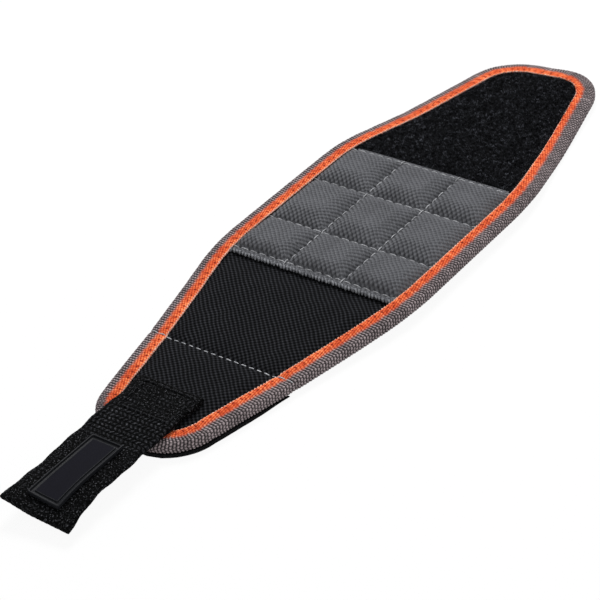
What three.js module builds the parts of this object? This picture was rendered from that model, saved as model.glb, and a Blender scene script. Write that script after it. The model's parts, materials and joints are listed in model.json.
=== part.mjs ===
// A magnetic tool wristband laid open: a padded band with nine magnet pockets, a loop pile end,
// a hook end that laps over the pile, and a webbing pull tab. The band is cut into short bodies at
// its sewn and flex lines, so that it can wrap around a wrist.
// Millimetres, +Z up, +X towards the pile end, +Y to the left. The origin lies under the middle.
import * as THREE from 'three';

// Lengths along the band, from the end of the pull tab to the tip of the pile
const tabLength = 46.5;
const hookOuterLength = 27;
const hookInnerLength = 24.5;
const plainOuterLength = 27;
const plainInnerLength = 26.4;
const rowLengths = [25.2, 29.5, 26.1];
const pileInnerLength = 35.3;
const pileMiddleLength = 35.5;
const pileTipLength = 22;

// Outline across the band: straight tapers from the magnet rows to both ends
const widestWidth = 88.6;
const hookEndWidth = 40;
const pileEndWidth = 47.2;
const shoulderRadius = 120;
const hookFieldRadius = 7.5; // corners of the flat field inside the binding
const pileFieldRadius = 10;

// Edge binding, a tape folded over the edge
const bindingHeight = 4.2;
const bindingTape = 0.8;
const bindingLeaf = 7.4;
const bindingRound = 1.6;

// Cloth layers, and how far each stretch of the edge stands off the table
const faceThickness = 1;
const liningThickness = 1.2;
const panelRise = 1.2;
const fieldRamp = 4;
const hookPatchThickness = 1.5;
const hookPatchInset = 0.5;
const hookPatchMargin = 3; // from the cross stitching
const crossStitchLift = 0.9;
const plainLift = 1.5;
const padLift = 2.8;

// Magnet pockets
const pocketWidth = 25.4;
const magnetDiameter = 16;
const magnetThickness = 3;
const channelDrop = 0.5; // sewn channels below the top of the binding

// Pull strap and its label
const strapWidth = 25.4;
const strapThickness = 2.5;
const strapSeamMargin = 0.5;
const tailDroop = 3;
const droopLength = 17;
const labelLength = 32.6;
const labelWidth = 13;
const labelThickness = 1;
const labelCorner = 1.5;
const labelMargin = 5.6; // from the end of the tail

// Clearances
const layerGap = 0.1; // between layers sewn together
const edgeGap = 0.2; // between the cloth edges and the fold of the binding
const leafGap = 0.4; // past the edge of the binding, where the cloth is free to swell
const flexGap = 0.6; // between neighbouring bodies
const strapGap = 0.3;
const magnetGap = 0.3; // around a magnet in its pocket

// Stations along the band
const bandLength = hookOuterLength + hookInnerLength + plainOuterLength + plainInnerLength
  + rowLengths.reduce((sum, length) => sum + length, 0)
  + pileInnerLength + pileMiddleLength + pileTipLength;
const tailEnd = -(tabLength + bandLength) / 2;
const bandEnd = tailEnd + tabLength;
const strapSeam = bandEnd + hookOuterLength;
const crossStitch = strapSeam + hookInnerLength;
const plainFold = crossStitch + plainOuterLength;
const rowStarts = [plainFold + plainInnerLength];
rowLengths.forEach((length, i) => rowStarts.push(rowStarts[i] + length));
const panelStart = rowStarts[0];
const panelEnd = rowStarts[rowLengths.length];
const pileSeam = panelEnd + pileInnerLength;
const pileFold = pileSeam + pileMiddleLength;
const bandTip = pileFold + pileTipLength;

// Insets from the outer edge of the band
const clothInset = bindingTape + edgeGap;
const clampInset = bindingLeaf + leafGap;
const fieldInset = clampInset + fieldRamp;
const rampSteps = [0, 0.3, 0.65, 1];
const clothInsets = [clothInset, ...rampSteps.map((step) => clampInset + step * fieldRamp)];

// Heights above the bottom of the binding
const clampFloor = bindingTape + layerGap;
const clampTop = bindingHeight - bindingTape - layerGap;
const clampFaceFloor = clampTop - faceThickness;
const channelTop = bindingHeight - channelDrop;
const foamTop = clampFaceFloor - layerGap;
const pocketTop = foamTop + layerGap + magnetThickness + layerGap + faceThickness;

const materials = {
  ballisticCloth: { color: 0x1a1a1c, roughness: 0.85, metalness: 0 },
  pocketCloth: { color: 0x56585a, roughness: 0.85, metalness: 0 },
  loopPile: { color: 0x101011, roughness: 1, metalness: 0 },
  bindingTape: { color: 0xcd6a4b, roughness: 0.8, metalness: 0 },
  meshLining: { color: 0x232426, roughness: 0.95, metalness: 0 },
  foam: { color: 0x3c3d40, roughness: 1, metalness: 0 },
  hookTape: { color: 0x141415, roughness: 0.7, metalness: 0 },
  webbing: { color: 0x161617, roughness: 0.8, metalness: 0 },
  labelRubber: { color: 0x1b1d22, roughness: 0.55, metalness: 0 },
  magnetPlating: { color: 0xc9cacb, roughness: 0.25, metalness: 1 },
};

const band = new THREE.Group();
const layerMaterials = new Map();

function materialNamed(name) {
  if (!layerMaterials.has(name)) {
    layerMaterials.set(name, new THREE.MeshStandardMaterial(materials[name]));
  }
  return layerMaterials.get(name);
}

function addPiece(name, geometry, materialName) {
  const mesh = new THREE.Mesh(geometry, materialNamed(materialName));
  mesh.name = name;
  band.add(mesh);
  return mesh;
}

// Straight interpolation through [x, value] pairs in rising order
function through(pairs, x) {
  const last = pairs.length - 2;
  let i = 0;
  while (i < last && x > pairs[i + 1][0]) i += 1;
  const [[x0, v0], [x1, v1]] = [pairs[i], pairs[i + 1]];
  return THREE.MathUtils.lerp(v0, v1, (x - x0) / (x1 - x0));
}

// Height of the bottom of the binding above the table
const hookLift = hookPatchThickness + layerGap;
const lift = (x) => through([
  [bandEnd, hookLift], [strapSeam, hookLift], [crossStitch, crossStitchLift], [plainFold, plainLift],
  [panelStart, padLift], [panelEnd, padLift], [pileSeam, 0], [bandTip, 0],
], x);

// Height of the back of the lining, which the padding pushes down to the table
const back = (x) => through([
  [bandEnd, hookLift + layerGap], [strapSeam, hookLift + layerGap], [crossStitch, crossStitchLift],
  [panelStart, 0], [panelEnd, 0], [bandTip, 0],
], x);

// Left half of the outline: corners joined by straight runs, each corner rounded
const outlineCorners = [
  { x: bandEnd, y: hookEndWidth / 2, radius: hookFieldRadius + fieldInset },
  { x: panelStart, y: widestWidth / 2, radius: shoulderRadius },
  { x: panelEnd, y: widestWidth / 2, radius: shoulderRadius },
  { x: bandTip, y: pileEndWidth / 2, radius: pileFieldRadius + fieldInset },
];

// Centre and end directions of each corner's arc, with directions pointing out of the band
const outlineArcs = outlineCorners.map((corner, i) => {
  const before = outlineCorners[i - 1] ?? { x: corner.x, y: 0 };
  const after = outlineCorners[i + 1] ?? { x: corner.x, y: 0 };
  const inAngle = Math.atan2(corner.y - before.y, corner.x - before.x);
  const outAngle = Math.atan2(after.y - corner.y, after.x - corner.x);
  const middle = (inAngle + outAngle) / 2 + Math.PI / 2;
  const reach = corner.radius / Math.cos((inAngle - outAngle) / 2);
  return {
    centre: new THREE.Vector2(corner.x - reach * Math.cos(middle), corner.y - reach * Math.sin(middle)),
    radius: corner.radius,
    from: inAngle + Math.PI / 2,
    to: outAngle + Math.PI / 2,
  };
});

function arcPoint(arc, angle, inset) {
  const radius = arc.radius - inset;
  const reach = new THREE.Vector2(Math.cos(angle), Math.sin(angle)).multiplyScalar(radius);
  return reach.add(arc.centre);
}

// Half the width of the band at x, measured to a line that runs inside its edge by inset
function halfWidth(x, inset) {
  for (const [i, arc] of outlineArcs.entries()) {
    const start = arcPoint(arc, arc.from, inset);
    const end = arcPoint(arc, arc.to, inset);
    if (x <= end.x && x >= start.x) {
      return arc.centre.y + Math.sqrt((arc.radius - inset) ** 2 - (x - arc.centre.x) ** 2);
    }
    const next = outlineArcs[i + 1];
    if (next && x > end.x) {
      const far = arcPoint(next, next.from, inset);
      if (x < far.x) return THREE.MathUtils.mapLinear(x, end.x, far.x, end.y, far.y);
    }
  }
  return 0;
}

// A closed solid from vertices and triangles, turned so that its faces point out
function closedGeometry(points, triangles) {
  let volume = 0;
  for (const [a, b, c] of triangles) volume += points[a].dot(points[b].clone().cross(points[c]));
  const outward = volume > 0 ? triangles : triangles.map(([a, b, c]) => [a, c, b]);
  const geometry = new THREE.BufferGeometry();
  geometry.setFromPoints(points);
  geometry.setIndex(outward.flat());
  geometry.computeVertexNormals();
  return geometry;
}

const quad = (a, b, c, d) => [[a, b, c], [a, c, d]];

// A layer across the band: lines(x) gives the same number of y values at every station
function layerSolid(stations, lines, floorAt, topAt) {
  const points = [];
  const triangles = [];
  const across = lines(stations[0]).length;
  for (const x of stations) {
    for (const y of lines(x)) points.push(new THREE.Vector3(x, y, topAt(x, y)));
    for (const y of lines(x)) points.push(new THREE.Vector3(x, y, floorAt(x, y)));
  }
  const top = (i, j) => i * 2 * across + j;
  const floor = (i, j) => top(i, j) + across;
  const lastStation = stations.length - 1;
  for (let i = 0; i < lastStation; i += 1) {
    for (let j = 0; j < across - 1; j += 1) {
      triangles.push(...quad(top(i, j), top(i + 1, j), top(i + 1, j + 1), top(i, j + 1)));
      triangles.push(...quad(floor(i, j), floor(i, j + 1), floor(i + 1, j + 1), floor(i + 1, j)));
    }
    triangles.push(...quad(top(i, 0), floor(i, 0), floor(i + 1, 0), top(i + 1, 0)));
    const j = across - 1;
    triangles.push(...quad(top(i, j), top(i + 1, j), floor(i + 1, j), floor(i, j)));
  }
  for (let j = 0; j < across - 1; j += 1) {
    triangles.push(...quad(top(0, j), top(0, j + 1), floor(0, j + 1), floor(0, j)));
    const i = lastStation;
    triangles.push(...quad(top(i, j), floor(i, j), floor(i, j + 1), top(i, j + 1)));
  }
  return closedGeometry(points, triangles);
}

// A layer of a rounded end: rings at the given insets, with a flat field inside the last ring
function endSolid(sections, insets, floorAt, topAt) {
  const points = [];
  const triangles = [];
  const rings = insets.length;
  for (const section of sections) {
    const places = insets.map((inset) => section(inset));
    places.forEach((p, k) => points.push(new THREE.Vector3(p.x, p.y, topAt(p.x, insets[k]))));
    places.forEach((p, k) => points.push(new THREE.Vector3(p.x, p.y, floorAt(p.x, insets[k]))));
  }
  const top = (i, k) => i * 2 * rings + k;
  const floor = (i, k) => top(i, k) + rings;
  const lastSection = sections.length - 1;
  const inner = rings - 1;
  for (let i = 0; i < lastSection; i += 1) {
    for (let k = 0; k < inner; k += 1) {
      triangles.push(...quad(top(i, k), top(i, k + 1), top(i + 1, k + 1), top(i + 1, k)));
      triangles.push(...quad(floor(i, k), floor(i + 1, k), floor(i + 1, k + 1), floor(i, k + 1)));
    }
    triangles.push(...quad(top(i, 0), top(i + 1, 0), floor(i + 1, 0), floor(i, 0)));
  }
  for (let k = 0; k < inner; k += 1) {
    triangles.push(...quad(top(0, k), floor(0, k), floor(0, k + 1), top(0, k + 1)));
    const i = lastSection;
    triangles.push(...quad(top(i, k), top(i, k + 1), floor(i, k + 1), floor(i, k)));
  }
  triangles.push(...quad(
    top(0, inner), floor(0, inner), floor(lastSection, inner), top(lastSection, inner),
  ));
  const field = sections.map((section) => section(insets[inner]));
  const clockwise = THREE.ShapeUtils.isClockWise(field);
  for (const [a, b, c] of THREE.ShapeUtils.triangulateShape(field, [])) {
    const [second, third] = clockwise ? [b, c] : [c, b];
    triangles.push([top(a, inner), top(second, inner), top(third, inner)]);
    triangles.push([floor(a, inner), floor(third, inner), floor(second, inner)]);
  }
  return closedGeometry(points, triangles);
}

// The folded tape, swept through the sections of the edge
function bindingSolid(sections) {
  const roundSteps = 3;
  const outside = [[bindingLeaf, bindingHeight]];
  for (let step = 0; step <= roundSteps; step += 1) {
    const angle = (step / roundSteps) * (Math.PI / 2);
    const drop = bindingRound * (1 - Math.cos(angle));
    outside.push([bindingRound * (1 - Math.sin(angle)), bindingHeight - drop]);
  }
  for (let step = roundSteps; step >= 0; step -= 1) {
    const angle = (step / roundSteps) * (Math.PI / 2);
    outside.push([bindingRound * (1 - Math.sin(angle)), bindingRound * (1 - Math.cos(angle))]);
  }
  outside.push([bindingLeaf, 0]);
  const inside = [
    [bindingLeaf, bindingTape], [bindingTape, bindingTape],
    [bindingTape, bindingHeight - bindingTape], [bindingLeaf, bindingHeight - bindingTape],
  ];
  const profile = [...outside, ...inside];
  const count = profile.length;
  const points = [];
  const triangles = [];
  for (const section of sections) {
    for (const [inset, height] of profile) {
      const p = section(inset);
      points.push(new THREE.Vector3(p.x, p.y, lift(p.x) + height));
    }
  }
  for (let i = 0; i < sections.length - 1; i += 1) {
    for (let j = 0; j < count; j += 1) {
      const next = (j + 1) % count;
      const [a, b] = [i * count + j, i * count + next];
      triangles.push(...quad(a, b, b + count, a + count));
    }
  }
  const shape = profile.map(([inset, height]) => new THREE.Vector2(inset, height));
  const last = (sections.length - 1) * count;
  const clockwise = THREE.ShapeUtils.isClockWise(shape);
  for (const [a, b, c] of THREE.ShapeUtils.triangulateShape(shape, [])) {
    const [second, third] = clockwise ? [b, c] : [c, b];
    triangles.push([a, second, third]);
    triangles.push([last + a, last + third, last + second]);
  }
  return closedGeometry(points, triangles);
}

// Sections of one edge at the stations given; side is 1 on the left and -1 on the right
const sideSections = (stations, side) => stations.map(
  (x) => (inset) => new THREE.Vector2(x, side * halfWidth(x, inset)),
);

// Sections round an end, from the flex line on the left edge to the flex line on the right edge
function endSections(flexStation, arc, fromAngle, toAngle) {
  const arcSteps = 6;
  const left = [(inset) => new THREE.Vector2(flexStation, halfWidth(flexStation, inset))];
  for (let step = 0; step <= arcSteps; step += 1) {
    const angle = THREE.MathUtils.lerp(fromAngle, toAngle, step / arcSteps);
    left.push((inset) => arcPoint(arc, angle, inset));
  }
  const mirrored = (section) => (inset) => {
    const p = section(inset);
    return new THREE.Vector2(p.x, -p.y);
  };
  return [...left, ...left.slice().reverse().map(mirrored)];
}

function evenStations(from, to, steps) {
  return Array.from({ length: steps + 1 }, (_, i) => THREE.MathUtils.lerp(from, to, i / steps));
}

// Lines along the band at the given insets, from the right edge to the left edge
function insetLines(insets) {
  return (x) => {
    const half = insets.map((inset) => halfWidth(x, inset));
    return [...half.map((y) => -y), ...half.slice().reverse()];
  };
}

// How far in from the edge a point of the cloth lies, and how much it swells there
const swell = (share) => Math.sin(THREE.MathUtils.clamp(share, 0, 1) * Math.PI / 2);
const swellAtInset = (inset) => swell((inset - clampInset) / fieldRamp);
const insetAt = (x, y) => (Math.abs(y) > halfWidth(x, clampInset) + layerGap
  ? clothInset
  : THREE.MathUtils.mapLinear(
    Math.abs(y), halfWidth(x, clampInset), halfWidth(x, fieldInset), clampInset, fieldInset));

// Plain cloth: held down under the binding, and risen inside it
const panelTop = (x, inset) => lift(x) + clampTop + panelRise * swellAtInset(inset);
const panelFloor = (x, inset) => panelTop(x, inset) - faceThickness;
const liningFloor = (x, inset) => (inset > clampInset + layerGap ? back(x) : lift(x) + clampFloor);
const liningTop = (x, inset) => (inset > clampInset + layerGap
  ? back(x) + liningThickness
  : lift(x) + clampFloor + liningThickness);

const across = (heightAt) => (x, y) => heightAt(x, insetAt(x, y));

function addSideBindings(name, stations) {
  addPiece(`${name}_binding_left`, bindingSolid(sideSections(stations, 1)), 'bindingTape');
  addPiece(`${name}_binding_right`, bindingSolid(sideSections(stations, -1)), 'bindingTape');
}

// A body of plain cloth over a lining, with foam between them where it is padded
function addPanel(name, from, to, faceMaterial, padded) {
  const stations = evenStations(from + flexGap / 2, to - flexGap / 2, 4);
  const lines = insetLines(clothInsets);
  const filledTop = (x, inset) => panelFloor(x, inset) - layerGap;
  addPiece(
    `${name}_face`,
    layerSolid(stations, lines, across(panelFloor), across(panelTop)),
    faceMaterial,
  );
  addPiece(
    `${name}_lining`,
    layerSolid(stations, lines, across(liningFloor), across(padded ? liningTop : filledTop)),
    'meshLining',
  );
  if (padded) {
    const foamLines = insetLines(clothInsets.slice(2));
    const foamFloor = (x, inset) => liningTop(x, inset) + layerGap;
    addPiece(
      `${name}_foam`,
      layerSolid(stations, foamLines, across(foamFloor), across(filledTop)),
      'foam',
    );
  }
  addSideBindings(name, stations);
}

// A row of magnet pockets: crowned cloth over three magnets on foam
function addMagnetRow(name, from, to) {
  const ends = [from + flexGap / 2, to - flexGap / 2];
  const middle = (from + to) / 2;
  const halfLength = (ends[1] - ends[0]) / 2;
  const flatReach = magnetDiameter / 2 + magnetGap;
  const crownShares = (half) => rampSteps.map((step) => 1 - step * (1 - flatReach / half));
  const alongShares = crownShares(halfLength);
  const stations = [
    ...alongShares.map((share) => middle - share * halfLength),
    ...alongShares.slice().reverse().map((share) => middle + share * halfLength),
  ];
  const outerEdge = (x) => halfWidth(x, clampInset);
  const columns = (x) => [
    [-outerEdge(x), -pocketWidth / 2],
    [-pocketWidth / 2, pocketWidth / 2],
    [pocketWidth / 2, outerEdge(x)],
  ];
  const pocketLines = (x) => {
    const lines = columns(x).flatMap(([low, high], i) => {
      const half = (high - low) / 2;
      const shares = crownShares(half);
      const rising = shares.slice(i === 0 ? 0 : 1).map((share) => low + (1 - share) * half);
      const falling = shares.slice().reverse().map((share) => high - (1 - share) * half);
      return [...rising, ...falling];
    });
    return [-halfWidth(x, clothInset), ...lines, halfWidth(x, clothInset)];
  };
  const crown = (offset, half) => swell((half - Math.abs(offset)) / (half - flatReach));
  const pocketTopAt = (x, y) => {
    const reach = Math.min(Math.abs(y), outerEdge(x));
    const [low, high] = columns(x)[reach > pocketWidth / 2 ? 2 : 1];
    const offset = reach - (low + high) / 2;
    const outward = Math.max(0, (reach - pocketWidth / 2) / (outerEdge(x) - pocketWidth / 2));
    const seam = THREE.MathUtils.lerp(channelTop, clampTop, outward);
    const rise = crown(x - middle, halfLength) * crown(offset, (high - low) / 2);
    return lift(x) + THREE.MathUtils.lerp(seam, pocketTop, rise);
  };
  const pocketFloorAt = (x, y) => pocketTopAt(x, y) - faceThickness;
  const plainStations = evenStations(...ends, 3);
  const liningLines = insetLines(clothInsets);
  const foamFloor = (x) => back(x) + liningThickness + layerGap;
  addPiece(
    `${name}_pocket_face`,
    layerSolid(stations, pocketLines, pocketFloorAt, pocketTopAt),
    'pocketCloth',
  );
  addPiece(
    `${name}_lining`,
    layerSolid(plainStations, liningLines, across(liningFloor), across(liningTop)),
    'meshLining',
  );
  addPiece(
    `${name}_foam`,
    layerSolid(plainStations, insetLines([fieldInset]), foamFloor, (x) => lift(x) + foamTop),
    'foam',
  );
  const outerColumn = (pocketWidth / 2 + outerEdge(middle)) / 2;
  const magnetPlaces = { left: outerColumn, middle: 0, right: -outerColumn };
  for (const [place, y] of Object.entries(magnetPlaces)) {
    const disc = new THREE.CylinderGeometry(magnetDiameter / 2, magnetDiameter / 2, magnetThickness, 24);
    const magnet = addPiece(`${name}_magnet_${place}`, disc, 'magnetPlating');
    magnet.rotation.x = Math.PI / 2;
    magnet.position.set(middle, y, padLift + foamTop + layerGap + magnetThickness / 2);
  }
  addSideBindings(name, plainStations);
}

// A rounded end of the band
function addEnd(name, sections, faceMaterial) {
  const filledTop = (x, inset) => panelFloor(x, inset) - layerGap;
  addPiece(`${name}_face`, endSolid(sections, clothInsets, panelFloor, panelTop), faceMaterial);
  addPiece(`${name}_lining`, endSolid(sections, clothInsets, liningFloor, filledTop), 'meshLining');
  addPiece(`${name}_binding`, bindingSolid(sections), 'bindingTape');
}

const [hookArc, , , pileArc] = outlineArcs;
const hookSections = endSections(strapSeam - flexGap / 2, hookArc, hookArc.to, hookArc.from);
const pileSections = endSections(pileFold + flexGap / 2, pileArc, pileArc.from, pileArc.to);

addEnd('hook_end_outer', hookSections, 'ballisticCloth');
addPanel('hook_end_inner', strapSeam, crossStitch, 'ballisticCloth', false);
addPanel('plain_outer', crossStitch, plainFold, 'ballisticCloth', true);
addPanel('plain_inner', plainFold, panelStart, 'ballisticCloth', true);
rowLengths.forEach((length, i) => addMagnetRow(`row_${i + 1}`, rowStarts[i], rowStarts[i] + length));
addPanel('pile_inner', panelEnd, pileSeam, 'loopPile', false);
addPanel('pile_middle', pileSeam, pileFold, 'loopPile', false);
addEnd('pile_tip', pileSections, 'loopPile');

// Hook patch under the hook end, in two pieces that part at the strap seam
const patchTop = (x) => lift(x) - layerGap;
const patchFloor = () => 0;
addPiece(
  'hook_patch_outer',
  endSolid(hookSections, [hookPatchInset, fieldInset], patchFloor, patchTop),
  'hookTape',
);
addPiece(
  'hook_patch_inner',
  layerSolid(
    evenStations(strapSeam + flexGap / 2, crossStitch - hookPatchMargin, 2),
    insetLines([hookPatchInset]),
    patchFloor,
    patchTop,
  ),
  'hookTape',
);

// Strap sewn on top of the hook end
const strapFloor = hookLift + bindingHeight + strapGap;
const strapTop = strapFloor + strapThickness;
const strapRootLength = hookOuterLength - strapSeamMargin;
const strapRoot = addPiece(
  'strap_root',
  new THREE.BoxGeometry(strapRootLength, strapWidth, strapThickness),
  'webbing',
);
strapRoot.position.set(bandEnd + strapRootLength / 2, 0, (strapFloor + strapTop) / 2);

// Free tail of the strap, with a round inner end about its bending line
const tailPivot = bandEnd - strapGap - strapThickness / 2;
const droopStart = tailEnd + droopLength;
const tailSink = (x) => tailDroop * Math.max(0, (droopStart - x) / droopLength) ** 2;
const tailHalf = (x) => {
  const past = Math.max(0, x - tailPivot);
  return Math.sqrt((strapThickness / 2) ** 2 - past ** 2);
};
const tailMiddle = (x) => (strapFloor + strapTop) / 2 - tailSink(x);
const tailRounding = [80, 55, 30, 0].map(
  (angle) => tailPivot + (strapThickness / 2) * Math.sin(THREE.MathUtils.degToRad(angle)),
);
const droopStations = evenStations(tailEnd, droopStart, 4);
const tailStations = [...droopStations, ...tailRounding.slice().reverse()];
const strapLines = () => [-strapWidth / 2, strapWidth / 2];
addPiece(
  'strap_tail',
  layerSolid(
    tailStations,
    strapLines,
    (x) => tailMiddle(x) - tailHalf(x),
    (x) => tailMiddle(x) + tailHalf(x),
  ),
  'webbing',
);

// Label that lies along the tail
const labelStart = tailEnd + labelMargin;
const labelEnd = labelStart + labelLength;
const cornerShares = [0, 30, 60, 90].map((angle) => THREE.MathUtils.degToRad(angle));
const cornerReach = cornerShares.map((angle) => labelCorner * (1 - Math.cos(angle)));
const labelStations = [
  ...cornerReach.map((reach) => labelStart + reach),
  ...droopStations.filter((x) => x > labelStart + labelCorner),
  ...cornerReach.slice().reverse().map((reach) => labelEnd - reach),
];
const labelHalf = (x) => {
  const fromEnd = Math.min(x - labelStart, labelEnd - x);
  const short = Math.max(0, labelCorner - fromEnd);
  return labelWidth / 2 - labelCorner + Math.sqrt(Math.max(0, labelCorner ** 2 - short ** 2));
};
const labelFloor = (x) => strapTop + layerGap - tailSink(x);
addPiece(
  'strap_label',
  layerSolid(
    labelStations,
    (x) => [-labelHalf(x), labelHalf(x)],
    labelFloor,
    (x) => labelFloor(x) + labelThickness,
  ),
  'labelRubber',
);

export default band;
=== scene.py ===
import json
import math
import bpy
import numpy as np
from mathutils import Matrix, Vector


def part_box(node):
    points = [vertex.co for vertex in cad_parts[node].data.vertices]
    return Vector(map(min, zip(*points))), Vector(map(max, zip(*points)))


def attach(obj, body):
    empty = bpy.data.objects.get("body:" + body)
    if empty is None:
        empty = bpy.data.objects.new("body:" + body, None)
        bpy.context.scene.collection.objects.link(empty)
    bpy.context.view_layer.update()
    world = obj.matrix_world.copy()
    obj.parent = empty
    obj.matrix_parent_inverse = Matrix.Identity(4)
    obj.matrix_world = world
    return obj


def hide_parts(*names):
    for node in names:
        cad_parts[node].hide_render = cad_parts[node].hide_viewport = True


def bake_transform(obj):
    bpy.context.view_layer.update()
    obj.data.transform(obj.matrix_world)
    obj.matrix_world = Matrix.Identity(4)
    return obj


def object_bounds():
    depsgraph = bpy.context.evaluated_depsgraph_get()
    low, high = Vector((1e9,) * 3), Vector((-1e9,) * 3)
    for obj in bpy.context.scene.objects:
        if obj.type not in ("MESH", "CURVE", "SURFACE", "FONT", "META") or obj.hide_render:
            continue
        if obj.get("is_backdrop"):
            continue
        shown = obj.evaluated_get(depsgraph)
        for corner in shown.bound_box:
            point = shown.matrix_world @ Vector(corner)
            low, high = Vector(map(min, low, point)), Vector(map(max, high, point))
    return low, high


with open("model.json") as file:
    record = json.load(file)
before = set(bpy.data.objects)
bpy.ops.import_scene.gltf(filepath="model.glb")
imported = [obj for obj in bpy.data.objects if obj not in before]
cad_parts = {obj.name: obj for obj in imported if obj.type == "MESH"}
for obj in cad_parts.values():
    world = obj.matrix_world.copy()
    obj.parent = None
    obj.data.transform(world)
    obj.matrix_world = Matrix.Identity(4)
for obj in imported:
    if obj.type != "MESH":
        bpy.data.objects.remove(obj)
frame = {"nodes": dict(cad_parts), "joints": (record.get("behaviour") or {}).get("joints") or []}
cadBox = [[float(value) for value in corner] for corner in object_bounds()]
scene = bpy.context.scene
mm = 0.001
uvUnit = 100.0  # mm of cloth in one unit of UV
near = 0.01  # mm, for stations that count as the same
print("frame loaded:", len(frame["nodes"]), "nodes")


# Stations along the band, in mm, read from the joints and the solids
hingeAt = {joint["name"]: joint["pos_m"][0] / mm for joint in frame["joints"]}
strapSeam, crossStitch, plainFold = (hingeAt[name + "_flex"] for name in ("strap_seam", "cross_stitch", "plain_panel"))
rowLines = [hingeAt[name] for name in ("panel_edge_flex", "hook_side_wrap", "pile_side_wrap", "pile_edge_flex")]
panelStart, panelEnd = rowLines[0], rowLines[3]
pileSeam, pileFold = hingeAt["pile_seam_flex"], hingeAt["pile_tip_flex"]
tabHinge = hingeAt["pull_tab_bend"]


def boxOf(node):
    low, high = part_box(node)
    return np.array(low) / mm, np.array(high) / mm


bandEnd = boxOf("hook_end_outer_binding")[0][0]
bandTip = boxOf("pile_tip_binding")[1][0]
halfWide = boxOf("row_2_binding_left")[1][1]
tailEnd = boxOf("strap_tail")[0][0]
strapFloor, strapTop = (corner[2] for corner in boxOf("strap_root"))

# Each span of soft goods runs from the middle of one body to the middle of the next, over one hinge
hinges = [strapSeam, crossStitch, plainFold, *rowLines, pileSeam, pileFold]
bodyOrder = ["hook_end_outer", "hook_end_inner", "plain_outer", "plain_inner", "magnet_row_1", "magnet_row_2",
             "magnet_row_3", "pile_inner", "pile_middle", "pile_tip"]
spanNames = ["strap_end", "cross_stitch", "plain_fold", "panel_edge", "first_rows", "last_rows", "pile_edge",
             "pile_seam", "pile_end"]
spanNodes = [bodyOrder[:2]] + [[body.replace("magnet_", "")] for body in bodyOrder[2:]]
cuts = [bandEnd] + [(a + b) / 2 for a, b in zip(hinges, hinges[1:])] + [bandTip]


def fit(piece, span, endings=()):  # hides the solids it stands for
    names = [f"{node}_{ending}" for node in spanNodes[span] for ending in endings]
    names = [name for name in names if name in frame["nodes"]]
    if names:
        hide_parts(*names)
    reach = min(hinges[span] - cuts[span], cuts[span + 1] - hinges[span])
    start, end = hinges[span] - reach, hinges[span] + reach
    bodyOrder[span + 1]
    start * mm
    end * mm
    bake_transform(piece)
    return piece


# Outline of the band: straight tapers with rounded corners, as (x, half width, radius)
corners = [(bandEnd, 20.0, 19.3), (panelStart, halfWide, 120), (panelEnd, halfWide, 120), (bandTip, 23.6, 21.8)]
arcs = []
for i, (x, y, radius) in enumerate(corners):
    before = corners[i - 1][:2] if i else (x, 0)
    after = corners[i + 1][:2] if i < len(corners) - 1 else (x, 0)
    turnIn = math.atan2(y - before[1], x - before[0])
    turnOut = math.atan2(after[1] - y, after[0] - x)
    middle = (turnIn + turnOut) / 2 + math.pi / 2
    reach = radius / math.cos((turnIn - turnOut) / 2)
    arcs.append({"x": x - reach * math.cos(middle), "y": y - reach * math.sin(middle), "radius": radius,
                 "start": turnIn + math.pi / 2, "stop": turnOut + math.pi / 2})


def arcPoint(arc, angle, inset):
    return (arc["x"] + (arc["radius"] - inset) * math.cos(angle),
            arc["y"] + (arc["radius"] - inset) * math.sin(angle))


def halfWidth(x, inset):
    x = np.asarray(x, float)
    width = np.zeros_like(x)
    ends = [(arcPoint(arc, arc["start"], inset), arcPoint(arc, arc["stop"], inset)) for arc in arcs]
    for i, arc in enumerate(arcs):
        (startX, _), (stopX, stopY) = ends[i]
        bend = arc["y"] + np.sqrt(np.maximum((arc["radius"] - inset) ** 2 - (x - arc["x"]) ** 2, 0))
        width = np.where((x >= startX - 1e-6) & (x <= stopX), bend, width)
        if i < len(arcs) - 1:
            nextX, nextY = ends[i + 1][0]
            straight = stopY + (x - stopX) / (nextX - stopX) * (nextY - stopY)
            width = np.where((x > stopX) & (x < nextX), straight, width)
    return width


def edgeInset(x, y):  # how far inside the edge a point lies
    y = np.abs(y)
    inset = np.minimum(x - bandEnd, bandTip - x)
    for (x0, y0, _), (x1, y1, _) in zip(corners, corners[1:]):
        inset = np.minimum(inset, ((y0 - y) * (x1 - x0) - (x0 - x) * (y1 - y0)) / math.hypot(x1 - x0, y1 - y0))
    for arc in arcs:
        dx, dy = x - arc["x"], y - arc["y"]
        angle = np.arctan2(dy, dx)
        here = (angle <= arc["start"]) & (angle >= arc["stop"])
        inset = np.where(here, np.minimum(inset, arc["radius"] - np.hypot(dx, dy)), inset)
    return inset


def smooth(low, high, value):
    t = np.clip((value - low) / (high - low), 0, 1)
    return t * t * (3 - 2 * t)


def bell(value, width):
    return np.exp(-(value / width) ** 2)


def hump(value):  # 1 in the middle of each whole step and 0 at its ends
    return np.cos((value % 1 - 0.5) * math.pi)


def quarterRound(value, start, reach):
    return np.sin(np.clip((value - start) / reach, 0, 1) * math.pi / 2)


def ripple(x, y, size, seed, waves=7):  # slow wander from a few crossed waves
    draw = np.random.default_rng(seed)
    total = np.zeros(np.broadcast(x, y).shape)
    for _ in range(waves):
        angle, phase, stretch = draw.uniform(0, 2 * math.pi), draw.uniform(0, 2 * math.pi), draw.uniform(0.6, 1.7)
        total = total + np.sin((x * math.cos(angle) + y * math.sin(angle)) * 2 * math.pi * stretch / size + phase)
    return total / waves


# Layers in mm: leaf is the tape's width on the face, clamp is where the sheets end, free where they leave the tape
layers = {"tape": 0.8, "height": 4.2, "leaf": 7.4, "clamp": 2.0, "clampTop": 3.3, "free": (6, 11), "cloth": 1.0,
          "lining": 1.2}

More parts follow.
